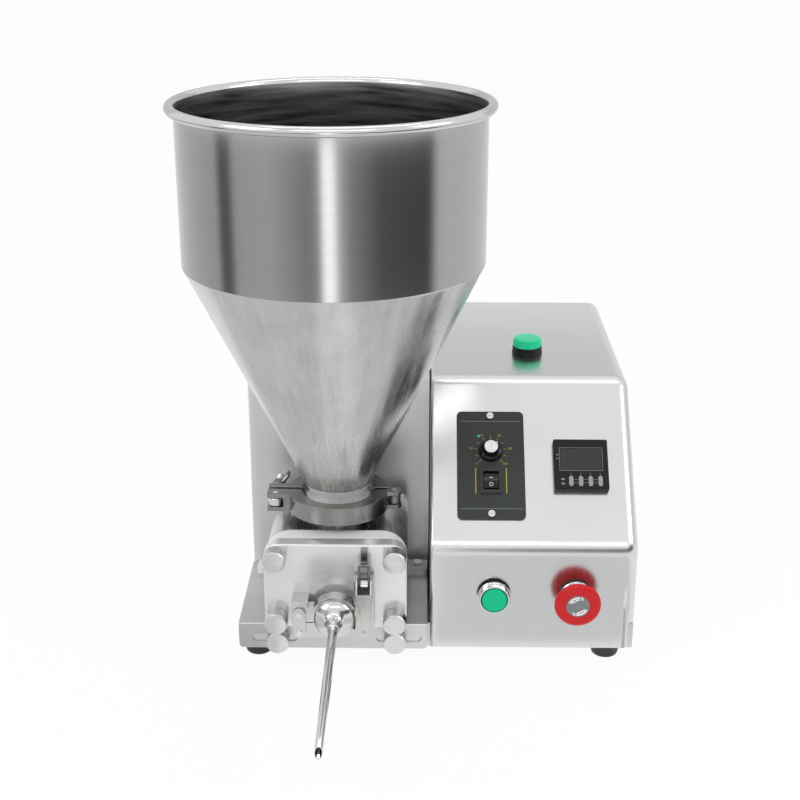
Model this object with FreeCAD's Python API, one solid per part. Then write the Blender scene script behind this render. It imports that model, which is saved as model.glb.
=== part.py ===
import FreeCAD, Part
import math
import os

from FreeCAD import Placement, Rotation, Vector

# The machine frame: X to the right, Y to the back, Z up, the floor at Z = 0.
# X = 0 is the seam between the two housings and Y = 0 the front of the pump shelf.
# Millimetres throughout.

# Sheet metal, feet and housings
SHEET = 1.5
FOOT_HEIGHT = 12.0
FOOT_TOP_R = 14.0
FOOT_BOTTOM_R = 11.5
FOOT_RECESS_R = 6.0
FOOT_RECESS = 7.0
FOOT_INSET_LEFT = 15.5
FOOT_INSET_RIGHT = 23.9
FOOT_INSET_Y = 18.5
DRIVE_WIDTH = 168.9
CONTROL_WIDTH = 181.5
MACHINE_DEPTH = 360.5
SHELF_DEPTH = 118.3
SHELF_HEIGHT = 24.4
SHELF_RIGHT_GAP = 2.0
SHELF_CORNER_R = 4.0
HOUSING_HEIGHT = 212.0
SEAM = 1.0
DRIVE_EDGE_R = 8.0
CONSOLE_SETBACK = 3.7
CONSOLE_KNEE = 97.3
CONSOLE_SLOPE = 43.8
CONSOLE_BEND_R = 20.0
CONSOLE_EDGE_R = 12.0
CONSOLE_SEAM_R = 3.0
REAR_LIP = 14.0
RAIL_HEIGHT = 18.0
RAIL_END = 8.0

# Clearances used all over: cutters run past a face by OVERCUT, and END_FLAT is left between round ends
OVERCUT = 1.0
END_FLAT = 0.01
SHAFT_ROOM = 1.0
STEM_PAST = 1.0

# Rear cover
VENT_COUNT = 6
VENT_LENGTH = 60.0
VENT_WIDTH = 5.0
VENT_PITCH = 12.0
VENT_HEIGHT = 150.0
INLET_X = 90.0
INLET_Z = 50.0
INLET_WIDTH = 27.0
INLET_HEIGHT = 20.0
INLET_FLANGE = 5.0
INLET_PROUD = 3.0
INLET_DEPTH = 24.0
INLET_CORNER_R = 3.0
SOCKET_DEPTH = 16.0
SOCKET_WALL = 2.0
SOCKET_CORNER_R = 2.0
PIN_LENGTH = 12.0
PIN_WIDTH = 2.0
PIN_HEIGHT = 4.0
PIN_PITCH = 7.0

# Small screws
SCREW_R = 1.5
SCREW_HEAD_R = 3.1
SCREW_HEAD = 2.0
SCREW_GRIP = 6.0
SCREW_SLOT = 0.8
FOOT_SCREW_GRIP = 9.0
SIDE_SCREW_HEIGHT = 12.0

# Hopper
HOPPER_Y = 56.0
HOPPER_WALL = 1.2
DRUM_R = 127.2
BEAD_R = 4.2
RIM_HEIGHT = 481.9
SHOULDER_HEIGHT = 353.3
NECK_R = 25.9
NECK_ABOVE_CLAMP = 1.0

# Hopper ferrules and clamp
FERRULE_R = 32.0
FERRULE_EDGE = 1.8
FERRULE_ROOT = 2.9
GASKET = 1.2
FERRULE_BORE_R = 23.5
CLAMP_R = 44.7
CLAMP_HEIGHT = 16.1
CLAMP_LIP_R = 28.5
CLAMP_CHAMFER = 5.0
CLAMP_CHAMFER_DEPTH = 3.0
CLAMP_OVERLAP = 4.0
CLAMP_PLANE = 16.4
CLAMP_SPLIT = 4.0
CLAMP_FIT = 0.3
LUG_REACH = 62.5
LUG_FRONT = 14.5
BOLT_PIN_DX = 55.3
BOLT_PIN_DY = 9.0
HINGE_PIN_DX = 50.2
HINGE_PIN_DY = 2.0
HINGE_EAR_R = 6.5
HINGE_ROOM = 1.0
CLAMP_PIN_R = 2.5
BOLT_EYE_R = 6.0
BOLT_EYE_HALF = 3.6
BOLT_EYE_ROOM = 1.2
BOLT_R = 4.0
BOLT_LENGTH = 51.0
LUG_SLOT_HALF = 4.4
REAR_LUG = 8.0
NUT_GAP = 1.5
WING_HUB_R = 6.5
WING_HUB = 14.0
WING_REACH = 14.5
WING_SWEEP = 8.0
WING_THICK = 4.0
WING_NOSE = 0.8
WING_TAPER = 3.0
WING_ROOT = 4.0
WING_TURN = 50.0

# Pump
PUMP_ASIDE = 2.25
PUMP_WIDTH = 124.0
PUMP_HEIGHT = 81.0
PUMP_GAP = 0.5
BODY_FRONT = 21.0
BODY_BACK = 92.0
BODY_CORNER_R = 22.0
WEAR_FRONT = 5.0
COVER_FRONT = -8.0
COVER_CORNER_R = 14.0
COVER_CHAMFER = 1.2
GEAR_MODULE = 3.0
GEAR_TEETH = 14
GEAR_ADDENDUM = 2.6
GEAR_DEDENDUM = 3.6
GEAR_BACKLASH = 1.2
PRESSURE_ANGLE = 20.0
GEAR_LENGTH = 54.0
GEAR_CLEAR = 0.4
SHAFT_R = 8.0
RUN_FIT = 0.05
BUSH_R = 11.0
BUSH_LENGTH = 8.0
SEAL_LENGTH = 7.0
SEAL_R = 14.0
INLET_BORE_R = 18.0
OUTLET_DROP = 21.2
OUTLET_R = 8.0
SEAL_GROOVE_IN = 1.5
SEAL_WIDTH = 2.6
SEAL_DEPTH = 1.8
STUD_R = 4.0
STUD_SPACING_X = 103.0
STUD_SPACING_Z = 60.0
STUD_HEAD_R = 7.0
STUD_HEAD = 5.5
STUD_HEAD_ROOM = 1.0
STUD_END_GAP = 1.0
THUMB_R = 10.0
THUMB_LENGTH = 14.0
THUMB_CHAMFER = 0.8
THUMB_BORE = 11.0
FACE_GAP = 0.3
BRACKET_PLATE = 8.0
BRACKET_FOOT = 6.0
BRACKET_FOOT_DEPTH = 20.0
BRACKET_SPREAD = 142.5
BRACKET_EAR = 9.0
BRACKET_BOLT_R = 2.5
BRACKET_BOLT_HEAD_R = 4.5
BRACKET_BOLT_HEAD = 3.5
BRACKET_BOLT_GRIP = 10.0

# Shelf thumb screws
KNOB_HEIGHT = 10.0
KNOB_SPACING = 103.2
KNOB_R = 10.0
KNOB_LENGTH = 10.5
KNOB_SHANK_R = 3.0
KNOB_SHANK = 16.0
SLOT_LENGTH = 40.0
SLOT_HEIGHT = 7.2
SLOT_SPACING = 110.0

# Drive train behind the pump
HUB_R = 18.0
HUB_LENGTH = 24.0
HUB_START = 126.0
TANG_WIDTH = 8.0
TANG_LENGTH = 10.0
TANG_FIT = 0.2
OUTPUT_R = 7.5
OUTPUT_LENGTH = 34.0
GEARBOX_SIZE = 90.0
GEARBOX_ASIDE = 18.0
GEARBOX_LENGTH = 60.0
GEARBOX_CORNER_R = 8.0
MOTOR_R = 43.0
MOTOR_LENGTH = 108.0
MOTOR_PLATE = 5.0
MOTOR_PLATE_MARGIN = 6.0
MOTOR_FOOT_DEPTH = 30.0

# Nozzle and its clamp
NOZZLE_GASKET_Y = -21.0
NOZZLE_GASKET = 1.0
NOZZLE_FLANGE_R = 17.0
NOZZLE_FLANGE = 2.9
NOZZLE_NECK_R = 14.0
NOZZLE_RING_R = 20.5
NOZZLE_RING_BACK = -15.0
NOZZLE_RING_FRONT = -26.6
NOZZLE_SKIRT_R = 17.5
NOZZLE_SKIRT = 2.2
NOZZLE_SHOULDER_R = 13.5
NOZZLE_SHOULDER_Y = -32.2
NOZZLE_DOME_R = 9.5
NOZZLE_DOME_Y = -34.0
NOZZLE_WAIST_R = 7.0
NOZZLE_WAIST_Y = -37.5
NOZZLE_ROOT_Y = -46.0
NOZZLE_BORE_R = 6.0
NOZZLE_WALL = 1.2
TUBE_R = 4.0
TUBE_TIP_R = 3.2
TUBE_WALL = 0.7
TUBE_TIP_Y = -225.0
TUBE_BEVEL = 8.0
TUBE_JOINT = 6.0
LINK_DX = 30.2
LINK_DROP = 3.6
LINK_PITCH = 17.4
LINK_R = 5.6
LINK_THICK = 2.5
LINK_GAP = 0.3
LINK_PIN_R = 2.0
LINK_PIN_HEAD_R = 2.8
LINK_PIN_HEAD = 1.0
LUG_TOP = 16.0
LUG_LEFT = 6.6
LUG_RIGHT = 7.6
RING_OVERLAP = 1.5
RING_OPENING = 30.0
ARM_THICK = 3.0

# Toggle latch
LATCH_DX = 25.4
LATCH_PIVOT_Z = 87.0
LATCH_PIVOT_Y = -20.0
LATCH_WIDTH = 13.4
LATCH_FOOT_WIDTH = 9.2
LATCH_SHEET = 1.2
LATCH_ABOVE = 5.5
LATCH_BELOW = 46.5
LATCH_WEB_DROP = 6.0
LATCH_FRONT = 9.5
LATCH_FLANGE_BACK = 5.0
LATCH_FOOT_DEPTH = 3.0
LATCH_ARM = 5.0
LATCH_OVER_CENTRE = 10.0
LATCH_PIN_R = 2.0
BAIL_R = 1.0
BAIL_LENGTH = 21.8
BAIL_TOP_HALF = 4.4
HOOK_WIDTH = 6.0
HOOK_THICK = 2.6
HOOK_TIP = 2.4
HOOK_RISE = 13.0
HOOK_REACH = 2.6
HOOK_BEND_R = 1.0
HOOK_EDGE_R = 0.5
EAR_THICK = 1.4
EAR_GAP = 0.4
EAR_DROP = 18.0
EAR_REACH = 4.5
POST_GAP = 0.2
RIVET_R = 2.0
RIVET_HEAD = 1.0
RIVET_UP = 3.2

# Panel devices
DEVICE_HOLE_R = 11.0
LOCKNUT_R = 15.0
LOCKNUT = 5.0
BARREL_LENGTH = 16.0
BUTTON_ROW = 52.5
START_X = 56.1
BEZEL_R = 14.7
BEZEL_HEIGHT = 10.0
BEZEL_BORE_R = 11.5
BEZEL_POCKET = 7.2
BEZEL_GASKET = 2.0
BEZEL_STEP = 1.0
BEZEL_CHAMFER = 1.5
START_CAP_R = 11.1
START_CAP = 4.5
START_CAP_PROUD = 1.4
START_CAP_CHAMFER = 0.8
START_STEM_R = 6.0
START_TRAVEL = 3.0
ESTOP_X = 127.8
ESTOP_COLLAR_R = 14.7
ESTOP_COLLAR = 6.0
ESTOP_COLLAR_TAPER = 2.0
ESTOP_STEM_R = 8.0
ESTOP_HEAD_R = 20.2
ESTOP_HEAD = 8.7
ESTOP_HEAD_GAP = 5.0
ESTOP_NECK_R = 10.0
ESTOP_UNDER_R = 18.2
ESTOP_UNDER_RISE = 3.2
ESTOP_RIM_RISE = 4.6
ESTOP_EDGE_R = 3.5
ESTOP_EDGE_IN = 1.0
ESTOP_EDGE_DROP = 1.4
ESTOP_SPIGOT_R = 5.0
ESTOP_SPIGOT = 4.5
ESTOP_SPIGOT_ROOM = 0.5
PILOT_X = 93.2
PILOT_Y = 194.7
PILOT_R = 14.5
PILOT_BASE = 7.0
PILOT_LENS_R = 13.6
PILOT_LENS = 8.6
PILOT_EDGE_R = 3.0
PILOT_BORE_R = 10.6
PILOT_PLUG = 2.0
BLOCK_WIDTH = 28.0
BLOCK_HEIGHT = 36.0
BLOCK_DEPTH = 22.0
BLOCK_CORNER_R = 2.0
BLOCK_ROOM = 4.0

# Speed control panel, with places measured up the slope from the knee
SPEED_X = 53.6
SPEED_S = 78.4
SPEED_WIDTH = 60.0
SPEED_HEIGHT = 103.4
SPEED_CORNER_R = 4.5
SPEED_PLATE = 2.0
SPEED_BODY_WIDTH = 46.0
SPEED_BODY_HEIGHT = 80.0
SPEED_BODY_DEPTH = 52.0
SPEED_SCREW_PITCH = 94.0
KNOB_S = 91.2
SKIRT_R = 10.5
SKIRT = 3.4
SKIRT_EDGE = 1.2
SKIRT_TAPER = 1.5
GRIP_R = 7.6
GRIP_TOP_R = 6.2
GRIP = 11.5
SPEED_STEM_R = 3.0
SPEED_STEM = 12.0
POINTER_ANGLE = 50.0
POINTER = 0.9
POINTER_SHORT = 0.5
POINTER_RISE = 1.0
ROCKER_S = 62.8
ROCKER_FRAME_WIDTH = 19.2
ROCKER_FRAME_HEIGHT = 24.4
ROCKER_FRAME = 1.6
ROCKER_FRAME_CORNER_R = 1.0
ROCKER_WELL_CORNER_R = 0.2
ROCKER_ROOM = 2.0
ROCKER_WIDTH = 13.4
ROCKER_R = 8.4
ROCKER_RISE = 2.6
ROCKER_DIP = 1.6
ROCKER_TILT = 8.0
ROCKER_GAP = 0.4
ROCKER_DEPTH = 7.0
ROCKER_PIN_R = 1.2
ROCKER_PIN_END = 2.0

# Timer
TIMER_X = 133.1
TIMER_S = 77.2
TIMER_SIZE = 48.0
TIMER_PROUD = 7.0
TIMER_BODY = 44.5
TIMER_DEPTH = 60.0
TIMER_CORNER_R = 1.5
TIMER_CHAMFER = 0.6
WINDOW_WIDTH = 36.6
WINDOW_HEIGHT = 21.0
WINDOW_S = 81.9
WINDOW_DEEP = 0.8
WINDOW_CORNER_R = 0.5
KEY_COUNT = 4
KEY_FIRST_X = 123.7
KEY_PITCH = 8.6
KEY_S = 61.0
KEY_WIDTH = 4.0
KEY_LENGTH = 9.8
KEY_PROUD = 0.7
KEY_THICK = 2.0
KEY_GAP = 0.3
KEY_TRAVEL = 0.8

# Places worked out from the sizes above
base_z = FOOT_HEIGHT
shelf_top = base_z + SHELF_HEIGHT
rim_top = shelf_top - SHEET
housing_top = base_z + HOUSING_HEIGHT
housing_back = MACHINE_DEPTH - SHEET
tray_left = SHEET - DRIVE_WIDTH
tray_right = CONTROL_WIDTH - SHEET
tray_front = CONSOLE_SETBACK + SHEET
tray_floor = base_z + SHEET
knee_z = base_z + CONSOLE_KNEE
slope = math.radians(CONSOLE_SLOPE)
pump_x = PUMP_ASIDE - DRIVE_WIDTH / 2
knob_xs = (pump_x - KNOB_SPACING / 2, pump_x + KNOB_SPACING / 2)
slot_xs = (pump_x - SLOT_SPACING / 2, pump_x + SLOT_SPACING / 2)
pump_low =shelf_top + PUMP_GAP
pump_z = pump_low + PUMP_HEIGHT / 2
pump_top = pump_low + PUMP_HEIGHT
clamp_z = pump_top + CLAMP_PLANE
pitch_r = GEAR_MODULE * GEAR_TEETH / 2
gear_r = pitch_r + GEAR_ADDENDUM
drive_x = pump_x - pitch_r
idler_x = pump_x + pitch_r
chamber_r = gear_r + GEAR_CLEAR
chamber_end = BODY_FRONT + GEAR_LENGTH + 2 * GEAR_CLEAR
outlet_z = pump_z - OUTLET_DROP
hub_end = HUB_START + HUB_LENGTH
gearbox_front = hub_end + MOTOR_PLATE + FACE_GAP
gearbox_x = drive_x + GEARBOX_ASIDE
latch_x = pump_x + LATCH_DX
link_x = pump_x - LINK_DX
link_mid_z = outlet_z - LINK_DROP
link_top_z = link_mid_z + LINK_PITCH / 2
link_low_z = link_mid_z - LINK_PITCH / 2
button_z = base_z + BUTTON_ROW
rim_outer_r = DRUM_R - HOPPER_WALL + 2 * BEAD_R
up = Vector(0, 0, 1)
back = Vector(0, 1, 0)
right = Vector(1, 0, 0)


def box(x0, x1, y0, y1, z0, z1):
    """Block between two corners."""
    return Part.makeBox(x1 - x0, y1 - y0, z1 - z0, Vector(x0, y0, z0))


def rod(radius, start, end):
    """Round bar from one point to another."""
    axis = end - start
    return Part.makeCylinder(radius, axis.Length, start, axis)


def rod_y(radius, x, z, y0, y1):
    return rod(radius, Vector(x, y0, z), Vector(x, y1, z))


def rod_x(radius, y, z, x0, x1):
    return rod(radius, Vector(x0, y, z), Vector(x1, y, z))


def rod_z(radius, x, y, z0, z1):
    return rod(radius, Vector(x, y, z0), Vector(x, y, z1))


def join(first, *others):
    """One solid from pieces that meet."""
    return first.fuse(list(others)).removeSplitter()


def turned(profile, base, axis):
    """Solid of revolution from (radius, height) points, stood on base along axis."""
    points = [Vector(radius, 0, height) for radius, height in profile]
    face = Part.Face(Part.makePolygon(points + points[:1]))
    solid = face.revolve(Vector(), up, 360)
    solid.Placement = Placement(base, Rotation(up, axis))
    return Part.Solid(solid) if solid.ShapeType == "Shell" else solid


def outline(points, radius):
    """Closed wire through points, with every corner rounded; radius is one value or one per corner."""
    count = len(points)
    radii = radius if isinstance(radius, list) else [radius] * count
    starts, ends, mids = [], [], []
    for i, corner in enumerate(points):
        before = (points[i - 1] - corner).normalize()
        after = (points[(i + 1) % count] - corner).normalize()
        half = before.getAngle(after) / 2
        trim = radii[i] / math.tan(half)
        inward = (before + after).normalize()
        starts.append(corner + before * trim)
        ends.append(corner + after * trim)
        mids.append(corner + inward * (radii[i] / math.sin(half) - radii[i]))
    edges = []
    for i in range(count):
        if radii[i] > 0:
            edges.append(Part.Arc(starts[i], mids[i], ends[i]).toShape())
        follow = (i + 1) % count
        if ends[i].distanceToPoint(starts[follow]) > 1e-6:
            edges.append(Part.makeLine(ends[i], starts[follow]))
    return Part.Wire(edges)


def prism(points, radius, sweep):
    """Rounded outline carried along a vector."""
    return Part.Face(outline(points, radius)).extrude(sweep)


def plate_y(x_mid, z_mid, width, height, y0, y1, radius):
    """Upright plate facing front, with rounded corners."""
    w, h = width / 2, height / 2
    corners = [Vector(x_mid + i * w, y0, z_mid + j * h) for i, j in ((-1, -1), (1, -1), (1, 1), (-1, 1))]
    return prism(corners, radius, back * (y1 - y0))


def plate_z(x_mid, y_mid, width, height, z0, z1, radius):
    """Flat plate with rounded corners."""
    w, h = width / 2, height / 2
    corners = [Vector(x_mid + i * w, y_mid + j * h, z0) for i, j in ((-1, -1), (1, -1), (1, 1), (-1, 1))]
    return prism(corners, radius, up * (z1 - z0))


def hexagon(radius, thick, base, axis):
    """Six-sided head or nut, radius out to its corners, stood on base along axis."""
    turns = [i * math.pi / 3 for i in range(6)]
    solid = prism([Vector(radius * math.cos(t), radius * math.sin(t), 0) for t in turns], 0, up * thick)
    solid.Placement = Placement(base, Rotation(up, axis))
    return solid


def full_round(size):
    """Corner radius that turns the ends of a slot of this width into half circles."""
    return size / 2 - END_FLAT


def edges_where(shape, test):
    """Edges whose every vertex passes the test."""
    return [edge for edge in shape.Edges if all(test(v.Point) for v in edge.Vertexes)]


def near(a, b):
    return abs(a - b) < 1e-4


def on_slope(shape):
    """Moves a shape drawn as (x, distance up the slope, height off the panel) onto the sloped panel."""
    moved = shape.copy()
    moved.Placement = Placement(Vector(0, CONSOLE_SETBACK, knee_z), Rotation(right, CONSOLE_SLOPE)).multiply(
        shape.Placement
    )
    return moved


def screw(point, direction, shank_r=SCREW_R, head_r=SCREW_HEAD_R, head=SCREW_HEAD, grip=SCREW_GRIP):
    """Slotted screw whose head sits on point and whose shank runs along direction."""
    solid = join(rod(head_r, point - direction * head, point), rod(shank_r, point, point + direction * grip))
    reach = head_r + OVERCUT
    slot = Part.makeBox(2 * reach, SCREW_SLOT, head, Vector(-reach, -SCREW_SLOT / 2, -head / 2))
    slot.Placement = Placement(point - direction * head, Rotation(up, direction))
    return solid.cut(slot)


# Places of the small screws that hold sheets, each with the direction of its shank


def foot_places():
    xs = (FOOT_INSET_LEFT - DRIVE_WIDTH, CONTROL_WIDTH - FOOT_INSET_RIGHT)
    ys = (FOOT_INSET_Y, MACHINE_DEPTH - FOOT_INSET_Y)
    return [(x, y) for x in xs for y in ys]


def side_screw_places():
    z = base_z + SIDE_SCREW_HEIGHT
    first = SHELF_DEPTH + 2 * REAR_LIP
    last = housing_back - 2 * REAR_LIP
    left = [(Vector(-DRIVE_WIDTH, y, z), right) for y in (SHELF_DEPTH / 2, first, last)]
    return left + [(Vector(CONTROL_WIDTH, y, z), -right) for y in (SHELF_DEPTH / 2, last)]


def rear_screw_places():
    low = base_z + SIDE_SCREW_HEIGHT
    high = housing_top - SHEET - REAR_LIP / 2
    xs = (2 * REAR_LIP - DRIVE_WIDTH, -2 * REAR_LIP, 2 * REAR_LIP, CONTROL_WIDTH - 2 * REAR_LIP)
    return [(Vector(x, MACHINE_DEPTH, z), -back) for x in xs for z in (low, high)]


def sheet_shanks():
    places = side_screw_places() + rear_screw_places()
    return [rod(SCREW_R, p, p + d * SCREW_GRIP) for p, d in places]


def slope_screw_places():
    offsets = (-SPEED_SCREW_PITCH / 2, SPEED_SCREW_PITCH / 2)
    return [Vector(SPEED_X, SPEED_S + offset, SPEED_PLATE) for offset in offsets]


# Base tray, shelf, feet and housings


def tray_block():
    return box(tray_left, tray_right, tray_front, housing_back, base_z, rim_top)


def base_tray():
    left, edge = tray_left + SHEET, tray_right - SHEET
    hollow = box(left, edge, tray_front + SHEET, housing_back - SHEET, tray_floor, shelf_top)
    rail_low = base_z + (rim_top - base_z - RAIL_HEIGHT) / 2
    rail = box(tray_left + RAIL_END, -RAIL_END, SHEET, tray_front, rail_low, rail_low + RAIL_HEIGHT)
    tray = join(tray_block().cut(hollow), rail)
    holes = sheet_shanks() + [knob_thread(x) for x in knob_xs]
    holes += [rod_z(SCREW_R, x, y, base_z, tray_floor) for x, y in foot_places()]
    return tray.cut(holes)


def knob_thread(x):
    return rod_y(KNOB_SHANK_R + RUN_FIT, x, base_z + KNOB_HEIGHT, 0, tray_front + SHEET)


def shelf_slot(x):
    return plate_y(x, base_z + KNOB_HEIGHT, SLOT_LENGTH, SLOT_HEIGHT, 0, SHEET, full_round(SLOT_HEIGHT))


def pump_shelf():
    left, edge = -DRIVE_WIDTH, -SHELF_RIGHT_GAP
    top = box(left, edge, 0, SHELF_DEPTH, rim_top, shelf_top)
    low, high = base_z, shelf_top
    corners = [Vector(left, 0, low), Vector(edge, 0, low), Vector(edge, 0, high), Vector(left, 0, high)]
    flange = prism(corners, [SHELF_CORNER_R, SHELF_CORNER_R, 0, 0], back * SHEET)
    side = box(left, tray_left, SHELF_CORNER_R, SHELF_DEPTH, base_z, shelf_top)
    rib = box(edge - SHEET, edge, tray_front + SHEET, SHELF_DEPTH, tray_floor, shelf_top)
    shelf = join(top, flange, side, rib)
    bend = edges_where(shelf, lambda p: near(p.y, 0) and near(p.z, shelf_top))
    shelf = shelf.makeFillet(SHEET, bend)
    holes = [shelf_slot(x) for x in slot_xs]
    holes += [rod_z(BRACKET_BOLT_R, x, y, rim_top, shelf_top) for x, y in bracket_bolt_places()]
    return shelf.cut(holes + sheet_shanks())


def drive_shell(inset, reach):
    """Left housing as a solid, drawn in by inset, and run past its open sides by reach."""
    left, front, top = inset - DRIVE_WIDTH, SHELF_DEPTH + inset, housing_top - inset
    solid = box(left, -SEAM - inset, front, housing_back + reach, base_z - reach, top)
    rounded = edges_where(
        solid,
        lambda p: (near(p.x, left) and near(p.y, front))
        or (near(p.x, left) and near(p.z, top))
        or (near(p.y, front) and near(p.z, top)),
    )
    rounded = [e for e in rounded if e.Length > 2 * DRIVE_EDGE_R and not diagonal(e)]
    return solid.makeFillet(DRIVE_EDGE_R - inset, rounded)


def diagonal(edge):
    a, b = edge.Vertexes[0].Point, edge.Vertexes[-1].Point
    return sum(0 if near(p, q) else 1 for p, q in ((a.x, b.x), (a.y, b.y), (a.z, b.z))) > 1


def rear_lip(left, edge):
    top = housing_top - SHEET
    return box(left, edge, housing_back - SHEET, housing_back, top - REAR_LIP, top)


def drive_housing():
    shell = drive_shell(0, 0).cut(drive_shell(SHEET, SHEET))
    shell = join(shell, rear_lip(DRIVE_EDGE_R - DRIVE_WIDTH, -SEAM - SHEET))
    shaft_hole = rod_y(SEAL_R + SHEET, drive_x, pump_z, SHELF_DEPTH - OVERCUT, SHELF_DEPTH + 2 * SHEET)
    return shell.cut([tray_block(), shaft_hole] + sheet_shanks())


def console_profile(inset, reach, x):
    """Corners of the console's side, from the front foot round to the rear foot."""
    front, top = CONSOLE_SETBACK + inset, housing_top - inset
    knee = knee_z - inset * (1 - math.sin(slope)) / math.cos(slope)
    crest = CONSOLE_SETBACK + ((top - knee_z) * math.cos(slope) + inset) / math.sin(slope)
    rear = housing_back + reach
    floor = base_z - reach
    return [
        Vector(x, front, floor),
        Vector(x, front, knee),
        Vector(x, crest, top),
        Vector(x, rear, top),
        Vector(x, rear, floor),
    ]


def console_shell(inset, reach):
    x0, x1 = inset, CONTROL_WIDTH - inset
    bend = CONSOLE_BEND_R - inset
    solid = prism(console_profile(inset, reach, x0), [0, bend, bend, 0, 0], right * (x1 - x0))
    floor, rear = base_z - reach, housing_back + reach
    for x, radius in ((x1, CONSOLE_EDGE_R - inset), (x0, CONSOLE_SEAM_R - inset)):
        side = edges_where(solid, lambda p, x=x: near(p.x, x))
        side = [
            e
            for e in side
            if not all(near(v.Point.z, floor) for v in e.Vertexes)
            and not all(near(v.Point.y, rear) for v in e.Vertexes)
        ]
        solid = solid.makeFillet(radius, side)
    return solid


def control_housing():
    shell = console_shell(0, 0).cut(console_shell(SHEET, SHEET))
    shell = join(shell, rear_lip(CONSOLE_SEAM_R, CONTROL_WIDTH - CONSOLE_EDGE_R))
    front = CONSOLE_SETBACK - OVERCUT
    holes = [rod_y(DEVICE_HOLE_R, x, button_z, front, front + 2 * SHEET) for x in (START_X, ESTOP_X)]
    holes.append(rod_z(DEVICE_HOLE_R, PILOT_X, PILOT_Y, housing_top - 2 * SHEET, housing_top))
    deep, high = -2 * SHEET, OVERCUT
    speed_window = plate_z(SPEED_X, SPEED_S, SPEED_BODY_WIDTH, SPEED_BODY_HEIGHT, deep, high, SPEED_CORNER_R)
    timer_window = plate_z(TIMER_X, TIMER_S, TIMER_BODY, TIMER_BODY, deep, high, TIMER_CORNER_R)
    holes += [on_slope(speed_window), on_slope(timer_window)]
    holes += [on_slope(rod_z(SCREW_R, p.x, p.y, deep, p.z)) for p in slope_screw_places()]
    return shell.cut([tray_block()] + holes + sheet_shanks())


def rear_cover():
    left, edge = -DRIVE_WIDTH, CONTROL_WIDTH
    corners = [
        Vector(left, housing_back, base_z),
        Vector(edge, housing_back, base_z),
        Vector(edge, housing_back, housing_top),
        Vector(left, housing_back, housing_top),
    ]
    cover = prism(corners, [0, 0, CONSOLE_EDGE_R, DRIVE_EDGE_R], back * SHEET)
    openings = [inlet_block(housing_back, MACHINE_DEPTH)]
    x, end_r = (-DRIVE_WIDTH - SEAM) / 2, full_round(VENT_WIDTH)
    for i in range(VENT_COUNT):
        z = base_z + VENT_HEIGHT - i * VENT_PITCH
        openings.append(plate_y(x, z, VENT_LENGTH, VENT_WIDTH, housing_back, MACHINE_DEPTH, end_r))
    return cover.cut(openings + sheet_shanks())


def inlet_block(y0, y1):
    """The inlet's body, as deep as asked."""
    return plate_y(INLET_X, base_z + INLET_Z, INLET_WIDTH, INLET_HEIGHT, y0, y1, INLET_CORNER_R)


def power_inlet():
    z = base_z + INLET_Z
    width, height = INLET_WIDTH + 2 * INLET_FLANGE, INLET_HEIGHT + 2 * INLET_FLANGE
    face = MACHINE_DEPTH + INLET_PROUD
    flange = plate_y(INLET_X, z, width, height, MACHINE_DEPTH, face, INLET_CORNER_R)
    start = face - SOCKET_DEPTH
    inner_width, inner_height = INLET_WIDTH - 2 * SOCKET_WALL, INLET_HEIGHT - 2 * SOCKET_WALL
    socket = plate_y(INLET_X, z, inner_width, inner_height, start, face, SOCKET_CORNER_R)
    inlet = join(flange, inlet_block(MACHINE_DEPTH - INLET_DEPTH, MACHINE_DEPTH)).cut(socket)
    half, rise = PIN_WIDTH / 2, PIN_HEIGHT / 2
    xs = (INLET_X - PIN_PITCH, INLET_X, INLET_X + PIN_PITCH)
    pins = [box(x - half, x + half, start, start + PIN_LENGTH, z - rise, z + rise) for x in xs]
    return join(inlet, *pins)


def rubber_feet():
    profile = [(0, 0), (FOOT_BOTTOM_R, 0), (FOOT_TOP_R, FOOT_HEIGHT), (0, FOOT_HEIGHT)]
    feet = []
    for x, y in foot_places():
        foot = turned(profile, Vector(x, y, 0), up)
        recess = rod_z(FOOT_RECESS_R, x, y, 0, FOOT_RECESS)
        feet.append(foot.cut([recess, rod_z(SCREW_R, x, y, 0, FOOT_HEIGHT)]))
    return Part.makeCompound(feet)


def machine_fasteners():
    """Sheet screws, foot screws, panel screws, bracket bolts and the lock nuts of the panel devices."""
    screws = [screw(p, d) for p, d in side_screw_places() + rear_screw_places()]
    screws += [screw(Vector(x, y, FOOT_RECESS), up, grip=FOOT_SCREW_GRIP) for x, y in foot_places()]
    screws += [on_slope(screw(p, -up)) for p in slope_screw_places()]
    for x, y in bracket_bolt_places():
        top = Vector(x, y, shelf_top + BRACKET_FOOT)
        screws.append(
            screw(top, -up, BRACKET_BOLT_R, BRACKET_BOLT_HEAD_R, BRACKET_BOLT_HEAD, BRACKET_BOLT_GRIP)
        )
    return Part.makeCompound(screws + device_locknuts())


# Hopper, its gasket and its clamp


def hopper_drum():
    inner = DRUM_R - HOPPER_WALL
    axis = Vector(pump_x, HOPPER_Y, 0)
    profile = [(inner, SHOULDER_HEIGHT), (DRUM_R, SHOULDER_HEIGHT), (DRUM_R, RIM_HEIGHT), (inner, RIM_HEIGHT)]
    wall = turned(profile, axis, up)
    bead = Part.makeTorus(inner + BEAD_R, BEAD_R, axis + up * RIM_HEIGHT, up)
    return join(wall, bead)


def ferrule_profile(face, root, outer_r, edge, thick, bore_r, neck_r):
    """Half section of a clamp ferrule: its face, tapered flange and neck, as (radius, height) points."""
    step = 1 if root > face else -1
    return [
        (bore_r, face),
        (outer_r, face),
        (outer_r, face + step * edge),
        (neck_r, face + step * thick),
        (neck_r, root),
    ]


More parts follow.
